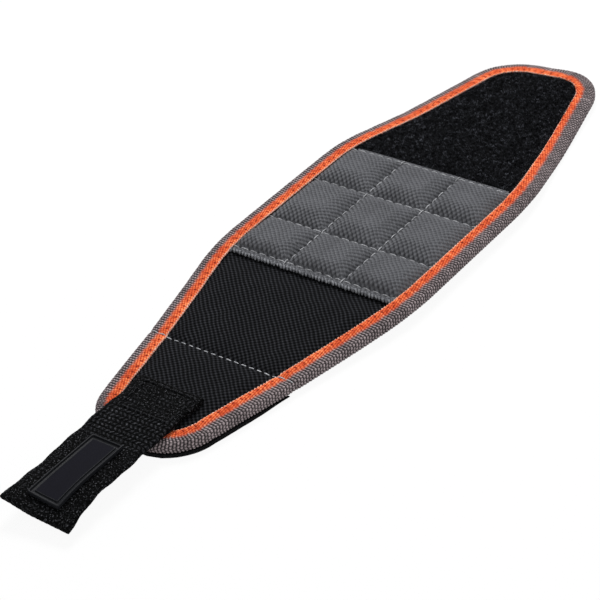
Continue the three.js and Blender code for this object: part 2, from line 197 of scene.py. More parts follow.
# Heights above the table by station: the bottom of the binding, then the back of the lining
liftKnots = ([bandEnd, strapSeam, crossStitch, plainFold, panelStart, panelEnd, pileSeam, bandTip],
             [1.6, 1.6, 0.9, 1.5, 2.8, 2.8, 0, 0])
backKnots = ([bandEnd, strapSeam, crossStitch, panelStart, panelEnd, bandTip], [1.7, 1.7, 0.9, 0, 0, 0])
knotBlur = (-5, -2.5, 0, 2.5, 5)
tipCorner = {"length": 52, "half": 24, "lift": 1.8, "shift": 0.8}


def softKnots(x, knots):
    return sum(np.interp(x + step, *knots) for step in knotBlur) / len(knotBlur)


def lift(x):
    return softKnots(x, liftKnots)


def settled(points):  # the tip's right corner stands a little off the table
    points = np.array(points, float)
    far = smooth(bandTip - tipCorner["length"], bandTip, points[:, 0])
    right = np.clip(-points[:, 1] / tipCorner["half"], -1, 1)
    points[:, 2] += tipCorner["lift"] * far * smooth(-0.6, 1.0, right)
    points[:, 0] += tipCorner["shift"] * far * right
    return points


def stationsOver(breaks, step):
    runs = [np.linspace(a, b, max(2, int(round((b - a) / step)) + 1))[:-1] for a, b in zip(breaks, breaks[1:])]
    return np.concatenate(runs + [[breaks[-1]]])


def cutsWithin(start, end):
    return [start] + [cut for cut in cuts if start + near < cut < end - near] + [end]


def spansOver(stations):  # each span and the rows of stations that fall in it
    for span in range(len(hinges)):
        rows = np.where((stations > cuts[span] - near) & (stations < cuts[span + 1] + near))[0]
        if len(rows) > 1:
            yield span, slice(rows[0], rows[-1] + 1)


def layOut(start, end, look):  # stations, and lines that run the length of the band spread over its width
    stations = stationsOver(cutsWithin(start, end), look["step"])
    wide = halfWidth(stations, look.get("inset", layers["clamp"]))
    return stations, stations[:, None] * np.ones(look["lines"]), wide[:, None] * np.linspace(-1, 1, look["lines"])


# Mesh helpers: points in mm, and UVs so that the cloth patterns bend with the cloth
def addObject(name, mesh):
    piece = bpy.data.objects.new(name, mesh)
    scene.collection.objects.link(piece)
    return piece


def addMesh(name, points, faces, material, uv, sharp=50):
    mesh = bpy.data.meshes.new(name)
    mesh.from_pydata((settled(points) * mm).tolist(), [], faces)
    corner = np.empty(len(mesh.loops), int)
    mesh.loops.foreach_get("vertex_index", corner)
    mesh.uv_layers.new(name="cloth").data.foreach_set("uv", (uv[corner] / uvUnit).astype(np.float32).ravel())
    mesh.materials.append(material)
    mesh.shade_smooth()
    mesh.set_sharp_from_angle(angle=math.radians(sharp))
    return addObject(name, mesh)


def gridQuads(index):
    return np.stack([index[:-1, :-1], index[1:, :-1], index[1:, 1:], index[:-1, 1:]], -1).reshape(-1, 4)


def addLayer(name, x, y, top, under, material):  # a closed layer between two height fields
    rows, lines = x.shape
    upper = np.arange(rows * lines).reshape(rows, lines)
    lower = upper + rows * lines
    rim = np.concatenate([upper[:-1, 0], upper[-1, :-1], upper[:0:-1, -1], upper[0, :0:-1]])
    onward = np.roll(rim, -1)
    walls = np.stack([rim + rows * lines, onward + rows * lines, onward, rim], -1)
    faces = np.concatenate([gridQuads(upper), gridQuads(lower)[:, ::-1], walls])
    points = np.concatenate([np.stack([x, y, level], -1).reshape(-1, 3) for level in (top, under)])
    hang = np.stack([np.zeros_like(y), np.sign(y) * (top - under)], -1).reshape(-1, 2)
    uv = points[:, :2].copy()
    uv[rows * lines:] += hang
    return addMesh(name, points, faces.tolist(), material, uv)


def spanLayers(kind, stations, fields, material, slot, *endings):  # one layer in each span that the stations reach
    for span, rows in spansOver(stations):
        piece = addLayer(f"{kind}_{spanNames[span]}", *(field[rows] for field in fields), material)
        yield fit(piece, span, endings), span, rows


def stretched(piece, stations):  # works out a sheet's mean width and its length, and does nothing with them
    long = stations[-1] - stations[0]
    wide = np.trapz(2 * halfWidth(stations, layers["clamp"]), stations) / long
    wide * mm
    long * mm


# Shader and geometry sums written as plain expressions
class Value:
    def __init__(self, tree, socket=None):
        self.tree, self.socket = tree, socket

    def make(self, kind, sockets=None, output=0, **settings):
        node = self.tree.nodes.new(kind)
        for key, setting in settings.items():
            if key == "stops":
                for place, colour in setting:
                    stop = node.color_ramp.elements.new(place)
                    stop.color = colour
                node.color_ramp.elements.remove(node.color_ramp.elements[0])
                node.color_ramp.elements.remove(node.color_ramp.elements[-1])
            else:
                setattr(node, key, setting)
        for key, item in (sockets or {}).items():
            if isinstance(item, Value):
                self.tree.links.new(item.socket, node.inputs[key])
            else:
                node.inputs[key].default_value = item
        return Value(self.tree, node.outputs[output])

    def other(self, output):
        return Value(self.tree, self.socket.node.outputs[output])

    def outlet(self, kind):
        self.tree.links.new(self.socket, self.tree.nodes.new(kind).inputs[0])

    def math(self, operation, *terms):
        return self.make("ShaderNodeMath", dict(enumerate(terms)), operation=operation)

    def __add__(self, term): return self.math("ADD", self, term)
    def __radd__(self, term): return self.math("ADD", term, self)
    def __sub__(self, term): return self.math("SUBTRACT", self, term)
    def __rsub__(self, term): return self.math("SUBTRACT", term, self)
    def __mul__(self, term): return self.math("MULTIPLY", self, term)
    def __truediv__(self, term): return self.math("DIVIDE", self, term)
    def __pow__(self, term): return self.math("POWER", self, term)
    def __gt__(self, term): return self.math("GREATER_THAN", self, term)

    def floor(self): return self.math("FLOOR", self)
    def fract(self): return self.math("FRACT", self)
    def abs(self): return self.math("ABSOLUTE", self)
    def cos(self): return self.math("COSINE", self)
    def atLeast(self, term): return self.math("MAXIMUM", self, term)
    def hump(self): return ((self.fract() - 0.5) * math.pi).cos().atLeast(0.001)

    def step(self, low, high):  # smooth rise from 0 at low to 1 at high
        sockets = {"Value": self, "From Min": low, "From Max": high}
        return self.make("ShaderNodeMapRange", sockets, interpolation_type="SMOOTHSTEP")

    def mix(self, first, second):  # colours, by this value
        return self.make("ShaderNodeMix", {0: self, 6: first, 7: second}, 2, data_type="RGBA", clamp_factor=True)

    def shade(self, amount):  # a colour made lighter or darker, or a vector made longer
        return self.make("ShaderNodeVectorMath", {0: self, 3: amount}, operation="SCALE")

    def noise(self, scale, detail=2.0, rough=0.5):
        sockets = {"Vector": self, "Scale": scale, "Detail": detail, "Roughness": rough}
        return self.make("ShaderNodeTexNoise", sockets)

    def chance(self, seed):  # a steady random number for a whole number
        joined = self.make("ShaderNodeCombineXYZ", {0: self, 1: seed})
        return self.make("ShaderNodeTexWhiteNoise", {"Vector": joined}, noise_dimensions="2D")


def bareTree(owner):  # of a material or the world
    owner.use_nodes = True
    owner.node_tree.nodes.clear()
    return Value(owner.node_tree)


def newMaterial(name, **constants):
    material = bpy.data.materials.new(name)
    start = bareTree(material)
    sockets = {key.replace("_", " "): constant for key, constant in constants.items()}
    start.make("ShaderNodeBsdfPrincipled", sockets).outlet("ShaderNodeOutputMaterial")
    return material, start


def newCloth(name, **constants):  # with places on the cloth: vector in mm, along the band, across the band
    material, start = newMaterial(name, **constants)
    place = start.make("ShaderNodeUVMap", uv_map="cloth").shade(uvUnit)
    parts = start.make("ShaderNodeSeparateXYZ", {0: place})
    return material, place, parts, parts.other(1)


def objectPlace(start):  # object coordinates in mm
    return start.make("ShaderNodeTexCoord", output="Object").shade(1 / mm)


def dress(material, colour, height, depth, rough=None):
    tree = material.node_tree
    shader = tree.nodes["Principled BSDF"]
    bump = height.make("ShaderNodeBump", {"Strength": 1.0, "Distance": depth * mm, "Height": height})
    for name, value in (("Base Color", colour), ("Roughness", rough), ("Normal", bump)):
        if value is not None:
            tree.links.new(value.socket, shader.inputs[name])
    return material


def grey(level):
    return (level, level, level, 1.0)


def srgb(red, green, blue):
    linear = [((c / 255 + 0.055) / 1.055) ** 2.4 if c > 10 else c / 255 / 12.92 for c in (red, green, blue)]
    return (*linear, 1.0)


def wovenCloth(name, look):  # plain weave of thick yarns, with a faint slanting line in it
    material, place, along, across = newCloth(name, Sheen_Weight=look["sheen"], Sheen_Roughness=0.5,
                                              Specular_IOR_Level=look["specular"])
    a = (along + (place.noise(0.09, 1.0) - 0.5) * 1.2) / look["pitch"]
    b = (across + (place.noise(0.11, 1.0) - 0.5) * 1.2) / look["pitch"]
    over = ((a.floor() + b.floor()) / 2).fract() * 2  # 1 where the yarn across lies on top
    lattice = ((a - 0.5) * math.pi).cos() * ((b - 0.5) * math.pi).cos()
    yarn = a.floor().chance(3.0) * over + b.floor().chance(5.0) * (1 - over)
    fuzz, cloudy = place.noise(4.5, 3.0, 0.7), place.noise(0.07, 2.0)
    pit = (0.5 - lattice * 0.5) ** look["pit"]  # painted shade in the small gaps between the yarns
    twill = ((a - b) * math.pi).cos() * 0.5 + 0.5
    # darker in the gaps between the yarns: painted shade
    tone = (1 - pit * look["gap"]) * (1 - look["twill"] + twill * look["twill"])
    tone = tone * (0.85 + yarn * 0.3) * (0.6 + fuzz * 0.8) * (0.8 + cloudy * 0.4)
    height = twill * 0.35 + lattice * 0.35 + fuzz * 0.25
    rough = 0.95 - lattice * 0.1 - fuzz * 0.1
    return dress(material, tone.mix(grey(0.0), look["colour"]), height, look["depth"], rough)


blackCloth = wovenCloth("blackBallisticCloth", {"pitch": 1.04, "colour": srgb(52, 53, 57), "sheen": 0.0,
                                                "specular": 0.03, "depth": 0.45, "gap": 1.0, "twill": 0.4, "pit": 0.55})
greyCloth = wovenCloth("greyPocketCloth", {"pitch": 1.04, "colour": srgb(99, 100, 104), "sheen": 0.03,
                                           "specular": 0.06, "depth": 0.65, "gap": 0.45, "twill": 0.06, "pit": 2.0})


def backingMaterial():
    material, place = newCloth("blackPileBacking", Roughness=1.0, Specular_IOR_Level=0.03)[:2]
    knots, bands = place.noise(1.6, 3.0, 0.7), place.noise(0.12, 2.0)
    return dress(material, (knots * 0.7 + bands * 0.3).step(0.3, 0.75).mix(srgb(5, 5, 6), srgb(24, 25, 27)), knots, 0.5)


def yarnMaterial(name, dark, light, rough, gloss, scale=2.0, low=0.36, patch=0.06, wander=1.0):  # mottled thread
    material, start = newMaterial(name, Roughness=rough, Specular_IOR_Level=gloss)
    place = objectPlace(start)
    cloudy = (place.noise(patch, 2.0) - 0.5) * wander + 1
    mottle = place.noise(scale, 3.0, 0.6).step(low, low + 0.32).mix(dark, light)
    return dress(material, mottle.shade(cloudy), place.noise(scale * 3, 1.0), 0.08)


loopYarn = yarnMaterial("blackPileLoops", srgb(1, 1, 2), srgb(83, 85, 92), 0.85, 0.04, 0.6, 0.42, 0.2, 3.6)
quiltThread = yarnMaterial("greyQuiltingThread", srgb(132, 133, 136), srgb(194, 195, 198), 0.75, 0.1)
crossThread = yarnMaterial("paleCrossThread", srgb(140, 142, 146), srgb(205, 207, 210), 0.7, 0.2)
bindingThread = yarnMaterial("orangeBindingThread", srgb(150, 52, 28), srgb(214, 88, 46), 0.75, 0.1)
strapThread = yarnMaterial("blackStrapThread", srgb(14, 14, 16), srgb(52, 53, 56), 0.8, 0.04)
picotThread = yarnMaterial("palePicotThread", srgb(206, 140, 116), srgb(240, 208, 194), 0.8, 0.1)
overcastThread = yarnMaterial("greyOvercastYarn", srgb(88, 89, 93), srgb(140, 142, 146), 0.85, 0.08, 1.4)
tapeWeave = {"rib": 1.27, "herring": 4.6, "slope": 0.28, "bead": 1.15}
strapWeave = {"row": 1.85, "yarn": 1.9, "lean": 0.6, "clear": -114.0}  # clear: where the yarns show best


def bindingMaterial(look):  # herringbone tape, orange along its inner edge and grey over the fold
    material, place, along, across = newCloth("twoToneBindingTape", Sheen_Weight=0.04, Specular_IOR_Level=0.08)
    fuzz, cloudy = place.noise(3.2, 3.0, 0.7), place.noise(0.14, 2.0)
    shiver = (place.noise(0.9, 3.0) - 0.5) * 0.5
    zigzag = ((across / look["herring"]).fract() - 0.5).abs() * look["herring"]
    strands = (along + shiver * 0.8 + zigzag * look["slope"]) / look["rib"]
    strand = strands.hump()
    bead = ((across + shiver * 0.5) / look["bead"] + strands.floor() * 0.5).hump()  # staggered like bricks
    lot = strands.floor().chance(4.0)  # each strand a little lighter or darker
    knuckle = strand ** 0.9 * bead ** 0.45
    # darkest between the yarn knuckles: painted shade
    taupe = (knuckle ** 1.5 * (0.75 + lot * 0.5)).mix(look["dark"], look["light"]).shade(0.6 + fuzz * 0.6)
    left = place.make("ShaderNodeSeparateXYZ", {0: objectPlace(place)}, "Y") > 0
    steep = across + shiver * 0.8 + along * (1 - left * 2) / look["lean"]  # leans forward on both sides
    yarn = steep / look["yarn"]
    ridge = yarn.hump()
    length = ((along + shiver + yarn.floor() * 0.7) / look["float"]).fract() - 0.5
    # gap: the yarn gaps and float ends, which darken the orange as painted shade
    gap = (1 - ridge) * 0.34 + (1 - strand) * 0.26 + (length.abs() * 2) ** 4 * 0.25
    needle = (along / look["stitch"]).fract() - 0.5
    # needle holes, real, which darken the orange as painted shade
    hole = 1 - ((across + shiver - look["sewnTo"]).abs() * 0.8 + needle.abs() * look["stitch"]).step(0.3, 0.9)
    # inner: the stripe's inner edge, which lightens the orange as a painted highlight
    inner = 1 - (across + shiver).step(1.0, 2.2)
    glow = (1.04 - gap * 1.3) * (0.5 + fuzz * 0.6) * (0.8 + lot * 0.4) + (cloudy - 0.5) * 0.45
    # painted highlight along the inner edge and painted shade in the needle holes
    glow = glow + inner * 0.16 - hole * 0.42 - 0.05
    orange = glow.make("ShaderNodeValToRGB", {0: glow}, stops=look["orange"])
    fringe = 1 - (across - strand * 0.6 - 0.3 + shiver).step(-0.2, 0.2)
    orange = (fringe * 0.75).mix(orange, look["pale"])
    ragged = shiver * 2.0 + (lot - 0.5) * 0.5
    inStripe = 1 - (across + ragged).step(look["stripe"] - look["soft"], look["stripe"] + look["soft"])
    colour = inStripe.mix(taupe, orange).shade(0.88 + cloudy * 0.24)
    height = knuckle * (1 - inStripe * 0.8) + ridge * inStripe * 0.6 - hole * inStripe * 0.4 + fuzz * 0.35
    return dress(material, colour, height, look["depth"], 0.92 - fuzz * 0.15)


tapeMaterial = bindingMaterial({
    **tapeWeave, "stripe": 4.3, "soft": 1.0, "sewnTo": 1.9, "stitch": 3.4, "lean": 3.0, "yarn": 1.0, "float": 2.3,
    "depth": 0.34, "pale": srgb(234, 188, 172), "dark": srgb(25, 22, 23), "light": srgb(175, 161, 163),
    "orange": [(0.03, srgb(120, 34, 16)), (0.25, srgb(184, 60, 28)), (0.6, srgb(223, 96, 50)),
               (0.97, srgb(248, 150, 96))]})


def liningMaterial(look):  # knitted spacer mesh with small staggered holes
    material, place, along, across = newCloth("darkSpacerMesh", Roughness=0.95, Specular_IOR_Level=0.08)
    row = (across / look["row"]).floor()
    a = (((along + (row / 2).fract() * look["pitch"]) / look["pitch"]).fract() - 0.5) * look["pitch"]
    b = ((across / look["row"]).fract() - 0.5) * look["row"]
    hole = 1 - ((a * a + b * b) ** 0.5).step(0.35, 0.62)
    fuzz = place.noise(3.0, 3.0, 0.7)
    # the holes near black: painted shade inside them
    colour = hole.mix(srgb(52, 53, 56), srgb(10, 10, 11)).shade(0.75 + fuzz * 0.5)
    return dress(material, colour, (1 - hole) + fuzz * 0.3, 0.4)


def foamMaterial():
    material, place = newCloth("greyFoam", Roughness=1.0, Specular_IOR_Level=0.2)[:2]
    cells = place.make("ShaderNodeTexVoronoi", {"Vector": place, "Scale": 1.4})
    return dress(material, cells.step(0.1, 0.6).mix(srgb(84, 85, 88), srgb(46, 47, 50)), cells, 0.3)


def hookMaterial(look):  # moulded rows of hooks
    material, place, along, across = newCloth("blackHookTape", Specular_IOR_Level=0.05)
    a = (along / look["pitch"]).fract() - 0.5
    b = (across / look["row"]).fract() - 0.5
    stub = (1 - a.abs().step(0.12, 0.34)) * (1 - b.abs().step(0.12, 0.34))
    fuzz = place.noise(2.5, 3.0, 0.7)
    # near black between the hooks and lighter on them: painted shade and painted highlight
    colour = (stub * 0.6 + fuzz * 0.4).mix(srgb(3, 3, 4), srgb(30, 30, 32))
    return dress(material, colour, stub + fuzz * 0.2, 0.5, 0.85 - stub * 0.3)


def webbingMaterial(look):  # short thick yarns that lean one way in one row and the other way in the next
    material, place, along, across = newCloth("blackWebbing", Specular_IOR_Level=0.03)
    shiver = (place.noise(0.5, 2.0) - 0.5) * 0.5
    row = (along + shiver) / look["row"]
    turn = (row.floor() / 2).fract() * 4 - 1  # 1 or -1
    yarn = (across + shiver) / look["yarn"] + (row.fract() - 0.5) * turn * look["lean"]
    ridge = yarn.hump() * row.hump() ** 0.5
    fuzz = place.noise(2.6, 4.0, 0.75)
    specks = place.noise(1.5, 3.0, 0.7).step(0.45, 0.75)
    clear = (along - look["clear"]).abs().step(11.0, 6.0)
    # hazy: random patches, fewest in the clear zone, where the yarn pattern gives way to flecks and the colour is
    # shaded down
    hazy = (1 - clear * 0.8) * place.noise(0.16, 3.0).step(0.2, 0.6)
    lot = (yarn.floor() + row.floor() * 31).chance(2.0)
    # the yarn crowns much lighter than the gaps between them: painted highlight and painted shade
    tone = (ridge ** 3.0 * 1.3 + 0.01) * (0.3 + fuzz * 1.3) * (0.7 + lot * 0.6)
    fleck = place.noise(1.7, 2.0, 0.6).step(0.55, 0.68)
    tone = tone + ((fleck * 1.2 + 0.05) * (0.35 + fuzz * 0.9) - tone) * hazy * 0.9
    colour = (specks * (1 - hazy) + fleck * hazy).mix(look["dark"], look["light"]).shade(tone * (1 - hazy * 0.35))
    return dress(material, colour, ridge * (1 - hazy * 0.5) + fuzz * 0.6, look["depth"], 0.95 - fuzz * 0.25)


def labelMaterial(name, level, rough):
    material, place = newCloth(name, Specular_IOR_Level=0.06)[:2]
    grain, cloudy = place.noise(5.0, 3.0, 0.6), place.noise(0.25, 3.0, 0.6)
    lighter = tuple(c * 1.6 for c in level[:3]) + (1.0,)
    return dress(material, cloudy.mix(level, lighter), grain, 0.06, rough + (grain - 0.5) * 0.2)


def nickelMaterial():
    material, start = newMaterial("nickelPlate", Metallic=1.0)
    place = objectPlace(start)
    smear = place.noise(0.5, 3.0, 0.6)
    colour = smear.mix(srgb(196, 196, 194), srgb(216, 216, 214))
    return dress(material, colour, place.noise(2.0, 2.0), 0.02, 0.18 + smear * 0.2)


pileBacking, padFoam, nickel = backingMaterial(), foamMaterial(), nickelMaterial()
spacerMesh = liningMaterial({"row": 1.9, "pitch": 2.4})
hookTape = hookMaterial({"row": 0.8, "pitch": 1.1})
webbing = webbingMaterial({**strapWeave, "depth": 0.3, "dark": srgb(24, 25, 28), "light": srgb(110, 111, 116)})
labelRubber = labelMaterial("blackLabelRubber", srgb(22, 23, 26), 0.4)
labelField = labelMaterial("darkLabelField", srgb(9, 9, 16), 0.75)
print("materials made:", len(bpy.data.materials))


# Repeats by geometry nodes: stitches along a seam, strands along an edge, loops on the pile
def newTree(name, inputs):
    tree = bpy.data.node_groups.new(name, "GeometryNodeTree")
    sockets = {"Geometry": "Geometry", **inputs, "Seed": "Int", "Material": "Material"}
    tree.interface.new_socket(name="Geometry", in_out="OUTPUT", socket_type="NodeSocketGeometry")
    for socket, kind in sockets.items():
        tree.interface.new_socket(name=socket, in_out="INPUT", socket_type="NodeSocket" + kind)
    given = tree.nodes.new("NodeGroupInput")
    return tree, {socket: Value(tree, given.outputs[socket]) for socket in sockets}


def endTree(tree, given, points, shape, turn, size):  # a shape at each point, made real
    solid = {"Points": points, "Instance": shape, "Rotation": turn, "Scale": size}
    solid = shape.make("GeometryNodeInstanceOnPoints", solid)
    solid = solid.make("GeometryNodeRealizeInstances", {0: solid})
    solid = solid.make("GeometryNodeSetShadeSmooth", {"Geometry": solid})
    solid = solid.make("GeometryNodeSetMaterial", {"Geometry": solid, "Material": given["Material"]})
    solid.outlet("NodeGroupOutput")
    return tree


def vector(start, x, y, z):
    return start.make("ShaderNodeCombineXYZ", {0: x, 1: y, 2: z})


def randomValue(low, high, seed):
    return seed.make("FunctionNodeRandomValue", {2: low, 3: high, "Seed": seed}, 1, data_type="FLOAT")


def bentYarn(start, ends, thickness, sides, steps, taper):  # a short bowed strand
    first, middle, last = (vector(start, *place) for place in ends)
    bow = {"Resolution": steps, "Start": first, "Middle": middle, "End": last}
    bow = start.make("GeometryNodeCurveQuadraticBezier", bow)
    along = start.make("GeometryNodeSplineParameter")
    girth = 1 - ((along * 2 - 1).abs() ** 4) * taper
    ring = start.make("GeometryNodeCurvePrimitiveCircle", {"Resolution": sides, "Radius": thickness / 2})
    tube = {"Curve": bow, "Profile Curve": ring, "Scale": girth, "Fill Caps": True}
    return bow.make("GeometryNodeCurveToMesh", tube)


def pathTree(name, upright):  # stitches along a path, or strands square to it
    sizes = ("Pitch", "Length", "Thickness", "Rise", "Sink", "Turn", "Spread")
    tree, given = newTree(name, dict.fromkeys(sizes, "Float"))
    start, seed, spread, sink = (given[key] for key in ("Geometry", "Seed", "Spread", "Sink"))
    half, less = given["Length"] / 2, spread * -1
    path = start.make("GeometryNodeMeshToCurve", {"Mesh": start})
    points = path.make("GeometryNodeCurveToPoints", {"Curve": path, "Length": given["Pitch"]}, mode="LENGTH")
    axes = {"Primary Axis": points.other("Tangent"), "Secondary Axis": (0, 0, 1)}
    facing = start.make("FunctionNodeAxesToRotation", axes, primary_axis="X", secondary_axis="Z")
    stray, tip = randomValue(less, spread, seed), randomValue(less, spread, seed + 7)
    swing = vector(start, tip if upright else 0.0, 0.0, given["Turn"] + stray)
    turns = {"Rotation": facing, "Rotate By": start.make("FunctionNodeEulerToRotation", {0: swing})}
    facing = start.make("FunctionNodeRotateRotation", turns, rotation_space="LOCAL")
    if upright:  # strands lie across the path, from its line outwards
        first, last = (0.0, half * 0.7, sink * -0.3), (0.0, half * -1.3, sink * -1)
    else:
        first, last = (half * -1, 0.0, sink * -1), (half, 0.0, sink * -1)
    shape = bentYarn(start, (first, (0.0, 0.0, given["Rise"]), last), given["Thickness"], 6, 5, 0.55)
    return endTree(tree, given, points, shape, facing, randomValue(1 - spread, 1 + spread * 0.6, seed + 13))


def pileTree():  # small loops scattered on the pile's face
    tree, given = newTree("pileLoops", dict.fromkeys(("Density", "Height", "Thickness"), "Float"))
    start, seed, high = given["Geometry"], given["Seed"], given["Height"]
    field = {"Mesh": start, "Density": given["Density"], "Seed": seed}
    points = start.make("GeometryNodeDistributePointsOnFaces", field, distribute_method="RANDOM")
    spin = {0: (-0.55, -0.55, -3.2), 1: (0.55, 0.55, 3.2), "Seed": seed}
    spin = start.make("FunctionNodeRandomValue", spin, data_type="FLOAT_VECTOR")
    turn = start.make("FunctionNodeEulerToRotation", {0: spin})
    foot, sunk = high * 0.45, high * -0.3
    ends = ((foot * -1, 0.0, sunk), (high * 0.2, 0.0, high * 2.1), (foot, 0.0, sunk))
    shape = bentYarn(start, ends, given["Thickness"], 3, 4, 0.2)
    return endTree(tree, given, points, shape, turn, randomValue(0.6, 1.25, seed + 3))


seamStitches, edgeStrands, pileLoops = pathTree("seamStitches", False), pathTree("edgeStrands", True), pileTree()


def grow(name, tree, points, edges, faces, values):  # runs a tree once and keeps its plain mesh
    mesh = bpy.data.meshes.new(name + "_guide")
    mesh.from_pydata((settled(points) * mm).tolist(), edges, faces)
    guide = addObject(name + "_guide", mesh)
    modifier = guide.modifiers.new("grow", "NODES")
    modifier.node_group = tree
    for item in tree.interface.items_tree:
        if item.in_out == "INPUT" and item.name in values:
            modifier[item.identifier] = values[item.name]
    evaluated = guide.evaluated_get(bpy.context.evaluated_depsgraph_get())
    piece = addObject(name, bpy.data.meshes.new_from_object(evaluated))
    piece.data.name = name
    bpy.data.objects.remove(guide)
    bpy.data.meshes.remove(mesh)
    return piece


def sew(name, tree, paths, look, thread, span):
    points, edges = [], []
    for path in paths:
        first = sum(len(p) for p in points)
        points.append(np.asarray(path, float))
        edges += [(first + k, first + k + 1) for k in range(len(path) - 1)]
    values = {key.capitalize(): look[key] * mm for key in ("pitch", "length", "thickness", "rise", "sink")}
    values |= {"Turn": look.get("turn", 0.0), "Spread": look["spread"], "Seed": look["seed"], "Material": thread}
    fit(grow(name, tree, np.concatenate(points), edges, [], values), span)


# Black cloth over the strap end and the plain panel
black = {"step": 1.0, "lines": 79, "rise": 1.2, "round": (7.2, 6), "groove": 0.9, "grooveWidth": 1.0, "dip": 0.5,
         "dipWidth": 4.5, "under": 2.2, "underLength": 16, "ends": 0.5, "wave": 0.14, "waveSize": 26,
         "waveFree": (7, 14)}


def plainTop(x, y):
    inset = edgeInset(x, y)
    rise = black["rise"] * quarterRound(inset, *black["round"])
    groove = black["groove"] * bell(x - crossStitch, black["grooveWidth"])
    groove = groove + black["dip"] * bell(x - crossStitch, black["dipWidth"])
    under = black["under"] * smooth(panelStart - black["underLength"], panelStart - 1, x)  # below the grey panel
    ends = black["ends"] * smooth(bandEnd + 40, bandEnd + 12, x)
    wave = black["wave"] * ripple(x, y, black["waveSize"], 4) * smooth(*black["waveFree"], inset)
    return lift(x) + layers["clampTop"] + rise - (groove + under + ends) * smooth(*layers["free"], inset) + wave


blackX, x, y = layOut(bandEnd + layers["clamp"], panelStart + 1.0, black)
blackTop = plainTop(x, y)
fields = x, y, blackTop, blackTop - layers["cloth"]
for piece, span, rows in spanLayers("black_cloth", blackX, fields, blackCloth, "ballistic_cloth", "face"):
    stretched(piece, blackX[rows])
print("black cloth made")

# Grey quilted cloth over the magnets
quilt = {"step": 0.85, "inset": 3.0, "sideLines": 37, "midLines": 34, "pocket": 12.7, "crown": 6.8, "channel": 2.7,
         "edge": 2.6, "hem": 0.9, "tuck": 0.3, "flat": 6.0, "fuller": 1.4, "tight": (11.6, 10.4), "pucker": 0.24,
         "puckerWidth": 2.2, "stitch": 4.2, "held": 0.3, "fill": 0.7}
swell = {"frames": 24, "most": 1.2, "scale": 0.05, "clear": 0.1}  # scale: 1 mm is simulated as 50 mm
swellCloth = {"vertex_group_mass": "held", "mass": 0.02, "quality": 6, "air_damping": 2.0, "tension_stiffness": 25.0,
              "compression_stiffness": 25.0, "shear_stiffness": 8.0, "bending_stiffness": 0.2, "use_pressure": True,
              "uniform_pressure_force": 6.0, "shrink_min": -0.02}
quiltSeams = [panelStart + 2.3, *rowLines[1:3], panelEnd - 1.3]
pocket = quilt["pocket"]


def quiltTop(x, y):  # pillows over the magnets, sewn down between them
    lines, rowEdges = np.array(quiltSeams), np.array(rowLines)
    row = np.clip(np.searchsorted(lines, x, side="right") - 1, 0, 2)
    outside = halfWidth(x, layers["leaf"] - quilt["tuck"])
    middle = (rowEdges[row] + rowEdges[row + 1]) / 2
    u = np.abs(x - middle)
    wide = np.where(x < middle, middle - lines[row], lines[row + 1] - middle)
    tight = smooth(*quilt["tight"], wide)  # fuller where a seam runs close to the magnets
    inner = np.abs(y) < pocket
    v = np.where(inner, np.abs(y), np.abs(np.abs(y) - (pocket + outside) / 2))
    tall = np.where(inner, pocket, (outside - pocket) / 2)
    far = np.hypot(u, v) + 1e-6
    reach = 1 / np.maximum(np.maximum(u / far / wide, v / far / tall), 1e-6)  # to the seam, that way
    flat = quilt["flat"] + quilt["fuller"] * tight
    t = np.clip((far - flat) / np.maximum(reach - flat, 0.5), 0, 1)
    square = np.clip(np.maximum(u / wide, v / tall), 0, 1)
    rise = 0.6 * (1 - t ** 1.7) ** 1.1 + 0.4 * (1 - square ** (3 + 2 * tight)) ** 1.05
    outward = np.clip((np.abs(y) - pocket) / (outside - pocket), 0, 1)
    seam = quilt["channel"] + (quilt["edge"] - quilt["channel"]) * outward ** 2
    seam = seam + quilt["hem"] * (smooth(panelStart + 6, panelStart, x) + 0.6 * smooth(panelEnd - 6, panelEnd, x))
    top = lift(x) + seam + (quilt["crown"] - seam) * rise
    toSeam = np.minimum(wide - u, tall - v)
    beside = bell(toSeam, quilt["puckerWidth"]) * smooth(0.2, 1.0, toSeam)
    beside = beside * smooth(panelStart + 1, panelStart + 5, x) * smooth(panelEnd - 1, panelEnd - 5, x)
    along = np.where(wide - u < tall - v, y, x)
    phase = along * 2 * math.pi / quilt["stitch"] / 1.5 + 2 * ripple(x, y, 20, 6)
    return top + quilt["pucker"] * beside * np.sin(phase)


def settleCloth(x, y, z, held):  # swells a sewn cloth by simulation
    scale, frames = swell["scale"], swell["frames"]
    start = np.stack([x, y, z], -1).reshape(-1, 3)
    mesh = bpy.data.meshes.new("swelling")
    mesh.from_pydata((start * scale).tolist(), [], gridQuads(np.arange(x.size).reshape(x.shape)).tolist())
    cloth = addObject("swelling", mesh)
    group = cloth.vertex_groups.new(name="held")
    group.add(np.where(held.ravel())[0].tolist(), 1.0, "REPLACE")
    modifier = cloth.modifiers.new("swell", "CLOTH")
    for key, setting in swellCloth.items():
        setattr(modifier.settings, key, setting)
    modifier.settings.effector_weights.gravity = 0.0
    modifier.collision_settings.use_collision = False
    modifier.point_cache.frame_start, modifier.point_cache.frame_end = 1, frames
    for step in range(1, frames + 1):
        scene.frame_set(step)
    moved = np.empty(x.size * 3, np.float32)
    swollen = cloth.evaluated_get(bpy.context.evaluated_depsgraph_get())
    swollen.data.vertices.foreach_get("co", moved)
    bpy.data.objects.remove(cloth)
    bpy.data.meshes.remove(mesh)
    scene.frame_set(1)
    move = moved.reshape(-1, 3) / scale - start
    far = np.linalg.norm(move, axis=1)[:, None]
    move = move * np.minimum(1, swell["most"] / np.maximum(far, 1e-6))
    print("swollen by up to", round(float(far.max()), 2), "mm")
    return [(start + move)[:, k].reshape(x.shape) for k in range(3)]


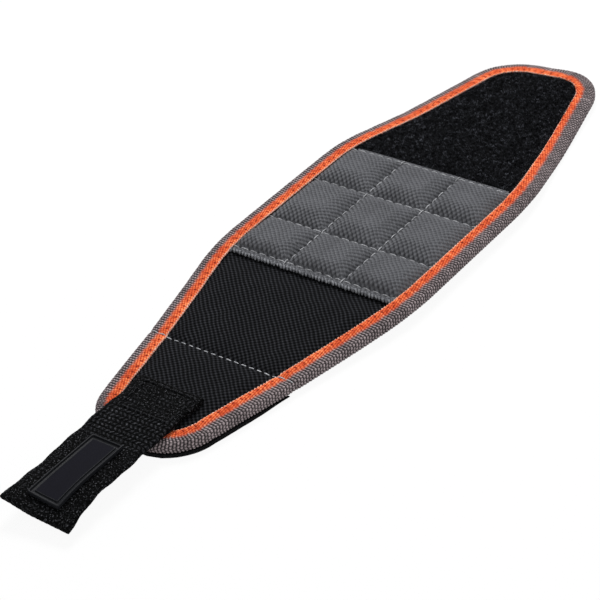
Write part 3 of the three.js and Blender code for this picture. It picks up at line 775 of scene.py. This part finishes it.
greyX = stationsOver(sorted(cutsWithin(panelStart - 0.4, panelEnd + 0.6) + quiltSeams), quilt["step"])
sides = halfWidth(greyX, quilt["inset"])
right, left = (np.full_like(sides, line) for line in (-pocket, pocket))
y = np.concatenate([np.linspace(-sides, right, quilt["sideLines"])[:-1],
                    np.linspace(right, left, quilt["midLines"])[:-1],
                    np.linspace(left, sides, quilt["sideLines"])]).T
x = greyX[:, None] * np.ones(y.shape[1])
greyTop = quiltTop(x, y)
sewn = (x < quiltSeams[0]) | (x > quiltSeams[-1]) | (edgeInset(x, y) < layers["leaf"])
for off in [np.abs(x - line) for line in quiltSeams] + [np.abs(np.abs(y) - pocket)]:
    sewn |= off < quilt["held"]
x, y, greyTop = settleCloth(x, y, greyTop, sewn)
greyTop = np.minimum(greyTop, cadBox[1][2] / mm - swell["clear"])
fields = x, y, greyTop, greyTop - layers["cloth"]
for piece, span, rows in spanLayers("grey_quilt", greyX, fields, greyCloth, "pocket_cloth", "pocket_face"):
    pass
print("grey quilt made")

# Black loop pile: a backing sheet and its loops
pile = {"step": 1.6, "lines": 49, "backing": 1.0, "rise": 0.7, "round": (7.0, 5), "tuck": 0.9, "tuckLength": 6,
        "wave": 0.12, "waveSize": 22, "waveFree": (7, 13), "density": 1.7e6, "height": 0.8, "thickness": 0.2,
        "seed": 20}


def pileTop(x, y):
    inset = edgeInset(x, y)
    rise = pile["rise"] * quarterRound(inset, *pile["round"])
    tuck = pile["tuck"] * smooth(panelEnd + pile["tuckLength"], panelEnd, x) * smooth(*layers["free"], inset)
    wave = pile["wave"] * ripple(x, y, pile["waveSize"], 9) * smooth(*pile["waveFree"], inset)
    return lift(x) + layers["clampTop"] + rise - tuck + wave


pileX, x, y = layOut(panelEnd - 1.0, bandTip - layers["clamp"], pile)
pileFace = pileTop(x, y)
fields = x, y, pileFace, pileFace - pile["backing"]
for piece, span, rows in spanLayers("pile_backing", pileX, fields, pileBacking, "loop_pile", "face"):
    stretched(piece, pileX[rows])
    quads = gridQuads(np.arange(x[rows].size).reshape(x[rows].shape))
    points = np.stack([x[rows], y[rows], pileFace[rows]], -1).reshape(-1, 3)
    middle = points[quads].mean(1)
    quads = quads[(edgeInset(middle[:, 0], middle[:, 1]) > layers["leaf"] - 0.6) & (middle[:, 0] > panelEnd + 0.3)]
    values = {"Density": pile["density"], "Height": pile["height"] * mm, "Thickness": pile["thickness"] * mm,
              "Seed": pile["seed"] + span, "Material": loopYarn}
    fit(grow(f"pile_loops_{spanNames[span]}", pileLoops, points, [], quads.tolist(), values), span)
print("pile made")

# Binding: a tape folded over the edge and swept along it, a little off centre at the far end
binding = {"step": 0.23, "round": 1.5, "under": 1.0, "fall": 0.28, "crown": 0.2, "dent": 0.5, "dentWidth": 1.2,
           "wander": 0.16, "ridge": 0.34, "scallop": 0.2, "shift": 1.0, "shiftAlong": (80, 130), "shiftSide": (0, -12),
           "press": 0.09, "pressAt": 4.2, "pressWidth": 1.2, "lead": 2.4, **tapeWeave}


def bindingProfile():  # insets, heights, place across the tape and normals; outside first and then inside
    leaf, high, tape, bend = layers["leaf"], layers["height"], layers["tape"], binding["round"]
    outer = [(leaf - 0.1, high - 0.75), (leaf, high - 0.45), (leaf - 0.12, high - 0.2)]
    for t in np.linspace(0.05, 1, 22):
        fall = 0.12 * (1 - t) ** 3 + binding["fall"] * t
        outer.append((leaf + (bend - leaf) * t, high - fall + binding["crown"] * math.sin(math.pi * t)))
    low = high - binding["fall"]
    for angle in np.radians(range(10, 91, 10)):
        outer.append((bend * (1 - math.sin(angle)), low - bend * (1 - math.cos(angle))))
    under = binding["under"]
    outer += [(0.0, low - bend + fall * (under - low + bend)) for fall in (0.3, 0.6)]
    for angle in np.radians(range(90, -1, -18)):
        outer.append((under * (1 - math.sin(angle)), under * (1 - math.cos(angle))))
    outer += [(under + (leaf - under) * t, 0.0) for t in np.linspace(0.15, 0.97, 7)]
    outer += [(leaf, 0.25), (leaf - 0.1, 0.55)]
    inner = [(leaf - 0.2, tape), (4.0, tape), (tape + 0.3, tape), (tape, tape + 0.3), (tape, low - tape - 0.2),
             (tape + 0.3, low - tape), (4.0, high - tape - 0.5)]
    outer, inner = np.array(outer), np.array(inner)
    across = np.concatenate([[0], np.cumsum(np.hypot(*np.diff(outer, axis=0).T)), np.full(len(inner), 12.0)])
    tangent = np.gradient(outer * np.array([-1, 1]), axis=0)
    normal = np.stack([-tangent[:, 1], tangent[:, 0]], -1) / np.linalg.norm(tangent, axis=1)[:, None]
    return (*np.concatenate([outer, inner]).T, across, np.concatenate([normal, np.zeros_like(inner)]))


profileInset, profileHeight, profileAcross, profileNormal = bindingProfile()
edgeX = np.linspace(bandEnd + 9, bandTip - 11, 4000)
edgeSlope = np.gradient(halfWidth(edgeX, 0.0), edgeX)
edgeRun = np.concatenate([[0], np.cumsum(np.hypot(np.diff(edgeX), np.diff(halfWidth(edgeX, 0.0))))])


def sideSections(stations):  # places and lengths along the tape for cuts across the left edge
    places = np.stack([np.stack([stations, halfWidth(stations, inset)], -1) for inset in profileInset], 1)
    run = np.interp(stations, edgeX, edgeRun)[:, None] - profileInset * np.interp(stations, edgeX, edgeSlope)[:, None]
    return places, run


def endRun(arc, flexX, tipX):  # sections from the last cut across the edge to the middle of an end
    sign = -1 if tipX < 0 else 1
    corner, square = (arc["stop"], arc["start"]) if tipX < 0 else (arc["start"], arc["stop"])
    footX = arcPoint(arc, corner, 0)[0]
    places, run = sideSections(stationsOver(sorted([flexX, footX - sign * binding["lead"]]), binding["step"]))
    places, run = places[::sign], run[::sign]
    turns = np.linspace(corner, square, int(arc["radius"] * abs(square - corner) / binding["step"]))
    bend = np.array([[arcPoint(arc, angle, inset) for inset in profileInset] for angle in turns])
    bendRun = np.interp(footX, edgeX, edgeRun) + sign * arc["radius"] * np.abs(turns - corner)
    ys = np.linspace(arc["y"], 0, int(arc["y"] / binding["step"]))[1:]
    flat = np.array([[(tipX - sign * inset, y) for inset in profileInset] for y in ys])
    flatRun = bendRun[-1] + sign * (arc["y"] - ys)
    spread = np.ones(len(profileInset))
    return (np.concatenate([places, bend, flat]),
            np.concatenate([run, bendRun[:, None] * spread, flatRun[:, None] * spread]))


def tapeDent(x):  # pulled in where the cross stitching ends
    return binding["dent"] * bell(x - crossStitch, binding["dentWidth"])


def tapeMesh(places, run):  # one closed mesh through the sections
    count, sections = len(profileInset), len(places)
    x = places[..., 0]
    outward = places[:, np.argmin(profileInset)] - places[:, np.argmax(profileInset)]
    outward = (outward / np.linalg.norm(outward, axis=1)[:, None])[:, None, :]
    shift = smooth(*binding["shiftAlong"], x[:, 0]) * smooth(*binding["shiftSide"], places[:, 0, 1])
    across = profileAcross + binding["shift"] * shift[:, None]  # less of the stripe shows there
    zigzag = np.abs(across / binding["herring"] % 1 - 0.5) * binding["herring"]
    strands = (run + zigzag * binding["slope"]) / binding["rib"]
    knuckle = hump(strands) * hump(across / binding["bead"] + np.floor(strands) * 0.5) ** 0.3
    rib = (knuckle - 0.5) * (0.2 + 0.8 * smooth(3.8, 5.0, across))
    relief = (rib * (binding["ridge"] * smooth(14.5, 13.6, across)))[..., None] * profileNormal
    waver = binding["wander"] * np.sin(run * 0.55 + 2 * np.sin(run * 0.13)) * smooth(4.0, 7.4, profileInset)
    scallop = -binding["scallop"] * np.cos(run / binding["rib"] * 2 * math.pi) * smooth(6.7, 7.3, profileInset)
    push = relief[..., 0] - waver * 0.5 - scallop
    dent = tapeDent(x)
    sewn = binding["press"] * bell(profileInset - binding["pressAt"], binding["pressWidth"])
    upper = profileHeight > layers["height"] / 2
    z = lift(x) + profileHeight + np.where(upper, -dent - sewn + 0.1 * ripple(run, 0 * run, 14, 3), dent * 0.5)
    z = np.maximum(z + relief[..., 1], 0.02)
    points = np.concatenate([places + outward * push[..., None], z[..., None]], -1).reshape(-1, 3)
    index = np.arange(sections * count).reshape(sections, count)
    ahead = np.roll(index, -1, axis=1)
    faces = np.stack([index[:-1], ahead[:-1], ahead[1:], index[1:]], -1).reshape(-1, 4).tolist()
    faces += [index[0, ::-1].tolist(), index[-1].tolist()]
    return points, faces, np.stack([run, across * np.ones_like(run)], -1).reshape(-1, 2)


def turnOutward(points, faces):
    volume = 0.0
    for size in sorted({len(face) for face in faces}):
        corner = points[np.array([face for face in faces if len(face) == size])]
        for k in range(1, size - 1):
            volume += np.einsum("ij,ij->", corner[:, 0], np.cross(corner[:, k], corner[:, k + 1]))
    return faces if volume > 0 else [face[::-1] for face in faces]


def addBinding(span):
    low, high = cuts[span], cuts[span + 1]
    flip = np.array([1, -1])
    if span in (0, len(hinges) - 1):
        places, run = endRun(arcs[0], high, bandEnd) if span == 0 else endRun(arcs[3], low, bandTip)
        runs = [(np.concatenate([places, places[-2::-1] * flip]), np.concatenate([run, run[-2::-1]]))]
    else:
        places, run = sideSections(stationsOver([low, high], binding["step"]))
        runs = [(places, run), (places * flip, run)]
    points, faces, uvs = [], [], []
    for each in runs:
        p, f, uv = tapeMesh(*each)
        offset = sum(len(q) for q in points)
        faces += [[k + offset for k in face] for face in turnOutward(p, f)]
        points.append(p)
        uvs.append(uv)
    piece = addMesh(f"binding_{spanNames[span]}", np.concatenate(points), faces, tapeMaterial, np.concatenate(uvs), 60)
    fit(piece, span, ["binding", "binding_left", "binding_right"])
    return runs


bindingRuns = [addBinding(span) for span in range(len(hinges))]
print("binding made")

# Lining on the back
lining = {"step": 1.8, "lines": 61, "free": (7.4, 12.5), "channel": 0.55, "channelWidth": 1.3, "channelFree": (6, 9)}


def backFace(x, y):
    inset = edgeInset(x, y)
    held, free = lift(x) + layers["tape"] + 0.05, softKnots(x, backKnots)
    inRows = smooth(panelStart - 2, panelStart + 2, x) * smooth(panelEnd + 2, panelEnd - 2, x)
    channels = [bell(x - line, lining["channelWidth"]) for line in (*rowLines, crossStitch)]
    channels += [bell(y - line, lining["channelWidth"]) * inRows for line in (-pocket, pocket)]
    quilted = np.maximum.reduce(channels)
    raised = lining["channel"] * quilted * smooth(*lining["channelFree"], inset)
    return held + (free - held) * smooth(*lining["free"], inset) + raised


liningX, x, y = layOut(bandEnd + layers["clamp"], bandTip - layers["clamp"], lining)
liningFloor = backFace(x, y)
fields = x, y, liningFloor + layers["lining"], liningFloor
for piece, span, rows in spanLayers("lining", liningX, fields, spacerMesh, "mesh_lining", "lining"):
    stretched(piece, liningX[rows])

# Foam behind the face and under the magnets
foam = {"inset": 11.8, "step": 3.0, "lines": 25, "gap": 0.1, "seat": 1.8, "least": 0.4, "fill": 0.9}
foamX, x, y = layOut(crossStitch + 1.5, panelEnd - 1.0, foam)
foamFloor = backFace(x, y) + layers["lining"] + foam["gap"]
plainFoam = plainTop(x, y) - layers["cloth"] - 2 * foam["gap"]
foamTop = plainFoam + (lift(x) + foam["seat"] - plainFoam) * smooth(panelStart - 4, panelStart + 0.5, x)
fields = x, y, np.maximum(foamTop, foamFloor + foam["least"]), foamFloor
for piece, span, rows in spanLayers("foam", foamX, fields, padFoam, "foam", "foam"):
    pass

# Hook tape under the strap end, hollowed to leave room for the tip when the loop is closed
hookPatch = {"inset": -0.3, "step": 1.6, "lines": 41, "margin": 3.0, "over": 0.02, "off": 0.05, "room": 0.9,
             "roomOver": (1.2, 4.5), "taper": 13.0, "end": 0.3, "fray": 0.13, "frayWidth": 3}
patchX, x, y = layOut(bandEnd + hookPatch["inset"], crossStitch - hookPatch["margin"], hookPatch)
within, top = edgeInset(x, y), lift(x) + hookPatch["over"]
fray = hookPatch["fray"] * (1 + ripple(x, y, 9, 12)) * smooth(hookPatch["frayWidth"], 0, within)
under = hookPatch["off"] + fray + hookPatch["room"] * smooth(*hookPatch["roomOver"], within)
under = under + (top - hookPatch["end"] - under) * smooth(patchX[-1] - hookPatch["taper"], patchX[-1], x)
for piece, span, rows in spanLayers("hook_patch", patchX, (x, y, top, under), hookTape, "hook_tape"):
    if span == 0:
        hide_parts("hook_patch_outer", "hook_patch_inner")
print("lining, foam and hook patch made")

# Strap: heavy webbing sewn on the strap end, with a free tail
strap = {"half": 12.7, "root": strapSeam - 0.5, "split": bandEnd + 8.5, "step": 0.26, "lines": 89, "ridge": 0.38,
         "droop": 4.0, "droopLength": 22.0, "curl": 1.1, "wave": 0.4, "skew": 1.4, "spread": 1.5, "bend": 2.95,
         **strapWeave}


def tailSink(x, y):  # the tail hangs lower on its right side
    far = np.maximum(0, (tailEnd + strap["droopLength"] - x) / strap["droopLength"]) ** 2
    return far * (strap["droop"] * (0.5 - 0.48 * y / strap["half"]) - strap["curl"] * smooth(0, strap["half"], y))


def strapRelief(x, v):  # the same yarns as in the webbing's material
    row = x / strap["row"]
    turn = np.where(np.floor(row) % 2 > 0.5, 1, -1)
    yarn = v / strap["yarn"] + (row % 1 - 0.5) * turn * strap["lean"]
    flat = smooth(strap["half"] + 0.2, strap["half"] - 1.6, np.abs(v))
    # hazy: away from the clear zone the yarns stand half as high, with a lumpy ripple
    hazy = smooth(6, 11, np.abs(x - strap["clear"]))
    relief = strap["ridge"] * (hump(row) ** 0.6 * (0.25 + 0.75 * hump(yarn)) - 0.6)
    return (relief * (1 - 0.5 * hazy) + 0.1 * hazy * ripple(x, v, 3.2, 17)) * (0.3 + 0.7 * flat)


def rounded(over, least):  # how thick an edge is, by how far it is past where the rounding starts
    return np.sqrt(np.clip(1 - np.maximum(0, over) ** 2, least, 1))


strapX = stationsOver([tailEnd, strap["split"], strap["root"]], strap["step"])
v = np.linspace(-1, 1, strap["lines"])[None, :] * strap["half"]
x = strapX[:, None] + strap["skew"] * smooth(tailEnd + 12, tailEnd, strapX)[:, None] * (0.5 - 0.5 * v / strap["half"])
side = (v / strap["half"]) ** 3
y = v + side * strap["wave"] * (0.5 * np.sin(strapX / 3.1) + 0.5 * np.sin(strapX / 1.7 + 1))[:, None]
y = y + np.where(side > 0, side * (1.0 + 1.2 * smooth(tailEnd + 10, bandEnd + 6, x)),
                 side * strap["spread"] * smooth(tailEnd + 14, tailEnd, x))
full = rounded((np.abs(v) - 11.6) / 1.1, 0) * rounded((tailEnd + 0.6 - strapX) / 0.8, 0.1)[:, None]
full = full * rounded((strapX - strap["root"] + 0.8) / 0.8, 0.1)[:, None]
half = ((strapTop - strapFloor) / 2 - 0.1) * (0.35 + 0.65 * full) + strapRelief(x, v) - 0.08
middle = (strapTop + strapFloor) / 2 - tailSink(x, y) + 0.12 * ripple(x, y, 19, 15)
strapUp, strapDown = middle + half, middle - half - 0.5 * smooth(bandEnd + 4, bandEnd + 10, x)
for part, rows in (("tail", strapX < strap["split"] + near), ("root", strapX > strap["split"] - near)):
    piece = addLayer(f"strap_{part}_webbing", x[rows], y[rows], strapUp[rows], strapDown[rows], webbing)
    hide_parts(f"strap_{part}")
    if part == "root":
        fit(piece, 0)
    else:
        start, end = (((tabHinge + reach) * mm, 0, 0) for reach in (strap["bend"], -strap["bend"]))
        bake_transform(piece)
        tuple(start)
        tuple(end)

# Label: a rubber plate with a thin raised rim, a channel and a bare field; steps are (inset, height) pairs
label = {"long": 32.6, "wide": 13.0, "corner": 0.5, "margin": 5.6, "thickness": 1.35, "gap": 0.06,
         "steps": [(0.0, 0.0), (0.0, 0.9), (0.06, 0.97), (0.14, 1.0), (0.36, 1.0), (0.46, 0.96), (0.52, 0.85),
                   (0.6, 0.48), (0.68, 0.45), (1.5, 0.45), (1.58, 0.5), (1.66, 0.74), (1.76, 0.8), (1.95, 0.8)]}


def labelRing(inset):
    halfLong, halfTall = label["long"] / 2 - inset, label["wide"] / 2 - inset
    ring = []
    for sx, sy, base in ((1, 1, 0), (-1, 1, 90), (-1, -1, 180), (1, -1, 270)):
        for angle in np.radians(base + np.linspace(0, 90, 6)):
            ring.append((sx * (halfLong - label["corner"]) + label["corner"] * math.cos(angle),
                         sy * (halfTall - label["corner"]) + label["corner"] * math.sin(angle)))
    full = []
    for a, b in zip(ring, ring[1:] + ring[:1]):
        steps = 24 if abs(a[0] - b[0]) > 9 else 9 if abs(a[1] - b[1]) > 5 else 1
        full += [(a[0] + (b[0] - a[0]) * k / steps, a[1] + (b[1] - a[1]) * k / steps) for k in range(steps)]
    return np.array(full)


points, faces = [], []
for inset, height in label["steps"]:
    ring = labelRing(inset) + np.array([tailEnd + label["margin"] + label["long"] / 2, 0])
    level = strapTop + label["gap"] - tailSink(ring[:, 0], ring[:, 1]) + height * label["thickness"]
    points.append(np.column_stack([ring, level]))
count, last = len(points[0]), len(points) - 1
for k in range(last):
    a, b = k * count + np.arange(count), k * count + (np.arange(count) + 1) % count
    faces += np.stack([a, b, b + count, a + count], -1).tolist()
faces += [[last * count + k for k in range(count)], list(range(count - 1, -1, -1))]
points = np.concatenate(points)
labelPiece = addMesh("label_plate", points, turnOutward(points, faces), labelRubber, points[:, :2].copy(), 35)
labelPiece.data.materials.append(labelField)
for face in labelPiece.data.polygons:
    if len(face.vertices) > 4 and face.normal.z > 0:
        face.material_index = 1
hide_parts("strap_label")
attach(labelPiece, "pull_tab")
print("strap and label made")

# Magnets keep their solids, with a plated finish
for name, node in frame["nodes"].items():
    if "_magnet_" in name:
        node.data.materials.clear()
        node.data.materials.append(nickel)


# Sewing: every seam is a run of bowed stitches on the surface it holds
def wander(places, size, seed):
    return ripple(places, 0 * places, size, seed)


def surfaceTop(x, y):  # the uppermost cloth at a point
    tape = lift(x) + layers["height"] + 0.1 - tapeDent(x)
    onQuilt = (x > panelStart - 0.6) & (x < panelEnd + 0.6)
    cloth = np.where(onQuilt, quiltTop(x, y), np.where(x < panelStart, plainTop(x, y), pileTop(x, y)))
    return np.where(edgeInset(x, y) < layers["leaf"], tape, cloth)


def acrossBand(x, inset, step=0.5):
    half = float(halfWidth(x, inset))
    y = np.linspace(-half, half, int(2 * half / step))
    x = np.full_like(y, x)
    return np.stack([x, y, surfaceTop(x, y)], -1)


quiltSeam = {"pitch": 4.2, "length": 3.5, "thickness": 0.48, "rise": 0.46, "sink": 0.1, "spread": 0.08, "seed": 31,
             "wander": 0.3, "level": 0.25, "hemLevel": 0.02}  # the hem's row is sunk
for span, line in zip((3, 4, 5, 6), quiltSeams):
    path = acrossBand(line, layers["leaf"] + 0.5)
    path[:, 0] += quiltSeam["wander"] * wander(path[:, 1], 17, 40 + span)
    path[:, 2] += quiltSeam["hemLevel" if span == 3 else "level"]
    paths = [path]
    px = np.linspace(max(cuts[span], quiltSeams[0]), min(cuts[span + 1], quiltSeams[-1]), 60)
    for line in (-pocket, pocket):
        py = line + quiltSeam["wander"] * wander(px, 19, 50 + int(line))
        paths.append(np.stack([px, py, quiltTop(px, py) + quiltSeam["level"]], -1))
    sew(f"quilting_{spanNames[span]}", seamStitches, paths, quiltSeam, quiltThread, span)

crossSeam = {"pitch": 3.3, "length": 3.2, "thickness": 0.5, "rise": 0.5, "sink": 0.25, "spread": 0.08, "seed": 33}
sew("cross_stitching", seamStitches, [acrossBand(crossStitch, 2.3)], crossSeam, crossThread, 1)

overcast = {"pitch": 1.45, "length": 2.0, "thickness": 1.0, "rise": 0.3, "sink": 0.55, "turn": 0.7, "spread": 0.2,
            "seed": 35, "back": 0.3, "wander": 0.25, "level": 0.15}
half = float(halfWidth(panelStart, layers["leaf"] - 0.2))
y = np.linspace(half, -half, 160)
x = panelStart - overcast["back"] + overcast["wander"] * wander(y, 13, 61)
path = np.stack([x, y, quiltTop(np.full_like(y, panelStart), y) + overcast["level"]], -1)
sew("overcast_edge", edgeStrands, [path], overcast, overcastThread, 3)

bindingSeam = {"pitch": 3.4, "length": 2.0, "thickness": 0.4, "rise": 0.22, "sink": 0.2, "turn": 0.35, "spread": 0.1,
               "seed": 37, "inset": 5.1, "level": -0.04}
picot = {"pitch": 1.27, "length": 1.15, "thickness": 0.48, "rise": 0.3, "sink": 0.2, "turn": 0.3, "spread": 0.25,
         "seed": 39, "inset": layers["leaf"] - 0.12, "level": -0.12}


def tapeLine(places, look):  # a line along the tape's face
    at = int(np.argmin(np.abs(profileInset[:25] - look["inset"])))
    line = places[::3, at]
    return np.column_stack([line, lift(line[:, 0]) + profileHeight[at] - tapeDent(line[:, 0]) + look["level"]])


for span, runs in enumerate(bindingRuns):
    for kind, look, thread in (("binding_seam", bindingSeam, bindingThread), ("picot", picot, picotThread)):
        paths = [tapeLine(places, look) for places, run in runs]
        sew(f"{kind}_{spanNames[span]}", seamStitches, paths, look, thread, span)

strapBox = {"pitch": 2.9, "length": 2.3, "thickness": 0.6, "rise": 0.4, "sink": 0.2, "spread": 0.08, "seed": 41,
            "start": 9.5, "margin": 2.2, "level": 0.05}
boxLow, boxHigh = bandEnd + strapBox["start"], strap["root"] - strapBox["margin"]
boxHalf = strap["half"] - strapBox["margin"]
boxLine = [(boxLow, -boxHalf), (boxHigh, -boxHalf), (boxHigh, boxHalf), (boxLow, boxHalf), (boxLow, -boxHalf)]
path = [(x0 + (x1 - x0) * t, y0 + (y1 - y0) * t, strapTop + strapBox["level"])
        for (x0, y0), (x1, y1) in zip(boxLine, boxLine[1:]) for t in np.linspace(0, 1, 40)[:-1]]
sew("strap_box_stitching", seamStitches, [path], strapBox, strapThread, 0)
print("sewing made")


# Pale floor, soft light, and a camera at the photograph's place
def sightRays(start):  # 1 for rays that show the picture, 0 for rays that carry light
    rays = start.make("ShaderNodeLightPath", output="Is Camera Ray")
    return rays, rays.atLeast(rays.other("Is Glossy Ray")).atLeast(rays.other("Is Transmission Ray"))


ground = {"half": 3.0, "level": -0.1 * mm, "tone": 0.9, "clear": 0.93}
floorMesh = bpy.data.meshes.new("floor")
floorMesh.from_pydata([(side * ground["half"], end * ground["half"], ground["level"]) for side, end in
                       ((-1, -1), (1, -1), (1, 1), (-1, 1))], [], [(0, 1, 2, 3)])
addObject("floor", floorMesh)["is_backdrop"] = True
paleFloor = bpy.data.materials.new("paleFloor")
start = bareTree(paleFloor)
matt = start.make("ShaderNodeBsdfDiffuse", {"Color": grey(ground["tone"])})
clear = start.make("ShaderNodeBsdfTransparent")  # shows the white world, and a band wrapped below the floor
rays, seen = sightRays(start)
veil = (seen * ground["clear"]).atLeast(rays.other("Is Shadow Ray"))
start.make("ShaderNodeMixShader", {0: veil, 1: matt, 2: clear}).outlet("ShaderNodeOutputMaterial")
floorMesh.materials.append(paleFloor)

skyLight = 0.36  # the white that shows is 1, and less of it lights the scene
scene.world = bpy.data.worlds.new("studio")
sky = bareTree(scene.world)
strength = skyLight + sightRays(sky)[1] * (1 - skyLight)
sky.make("ShaderNodeBackground", {"Color": grey(1.0), "Strength": strength}).outlet("ShaderNodeOutputWorld")


def place(item, columns):  # columns: right, up, behind and position
    item.matrix_world = Matrix([[float(column[k]) for column in columns] for k in range(3)] + [[0, 0, 0, 1]])


def softbox(name, stand, size, power):  # aims at the origin
    lamp = bpy.data.lights.new(name, "AREA")
    lamp.size, lamp.energy = size, power
    behind = np.array(stand) / np.linalg.norm(stand)
    right = np.cross((0.0, 1.0, 0.0), behind)
    right /= np.linalg.norm(right)
    place(addObject(name, lamp), (right, np.cross(behind, right), behind, stand))


softbox("keySoftbox", (0.62, 0.3, 0.95), 0.45, 15.0)
softbox("nearSoftbox", (-0.5, -1.0, 0.55), 0.6, 3.2)

camera = bpy.data.cameras.new("photoCamera")
camera.lens, camera.sensor_width, camera.clip_start = 126.44, 36.0, 0.01
scene.camera = addObject("photoCamera", camera)
place(scene.camera, ((0.58468962, -0.80568267, -0.0949394), (0.51123916, 0.27506297, 0.81423269),
                     (-0.62989886, -0.52461014, 0.572723), (-0.49857, -0.39991, 0.43613)))
scene.view_settings.view_transform = "Standard"

visualBox = [[float(value) for value in corner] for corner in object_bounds()]
print("visual box in mm:", [[round(value / mm, 1) for value in corner] for corner in visualBox])
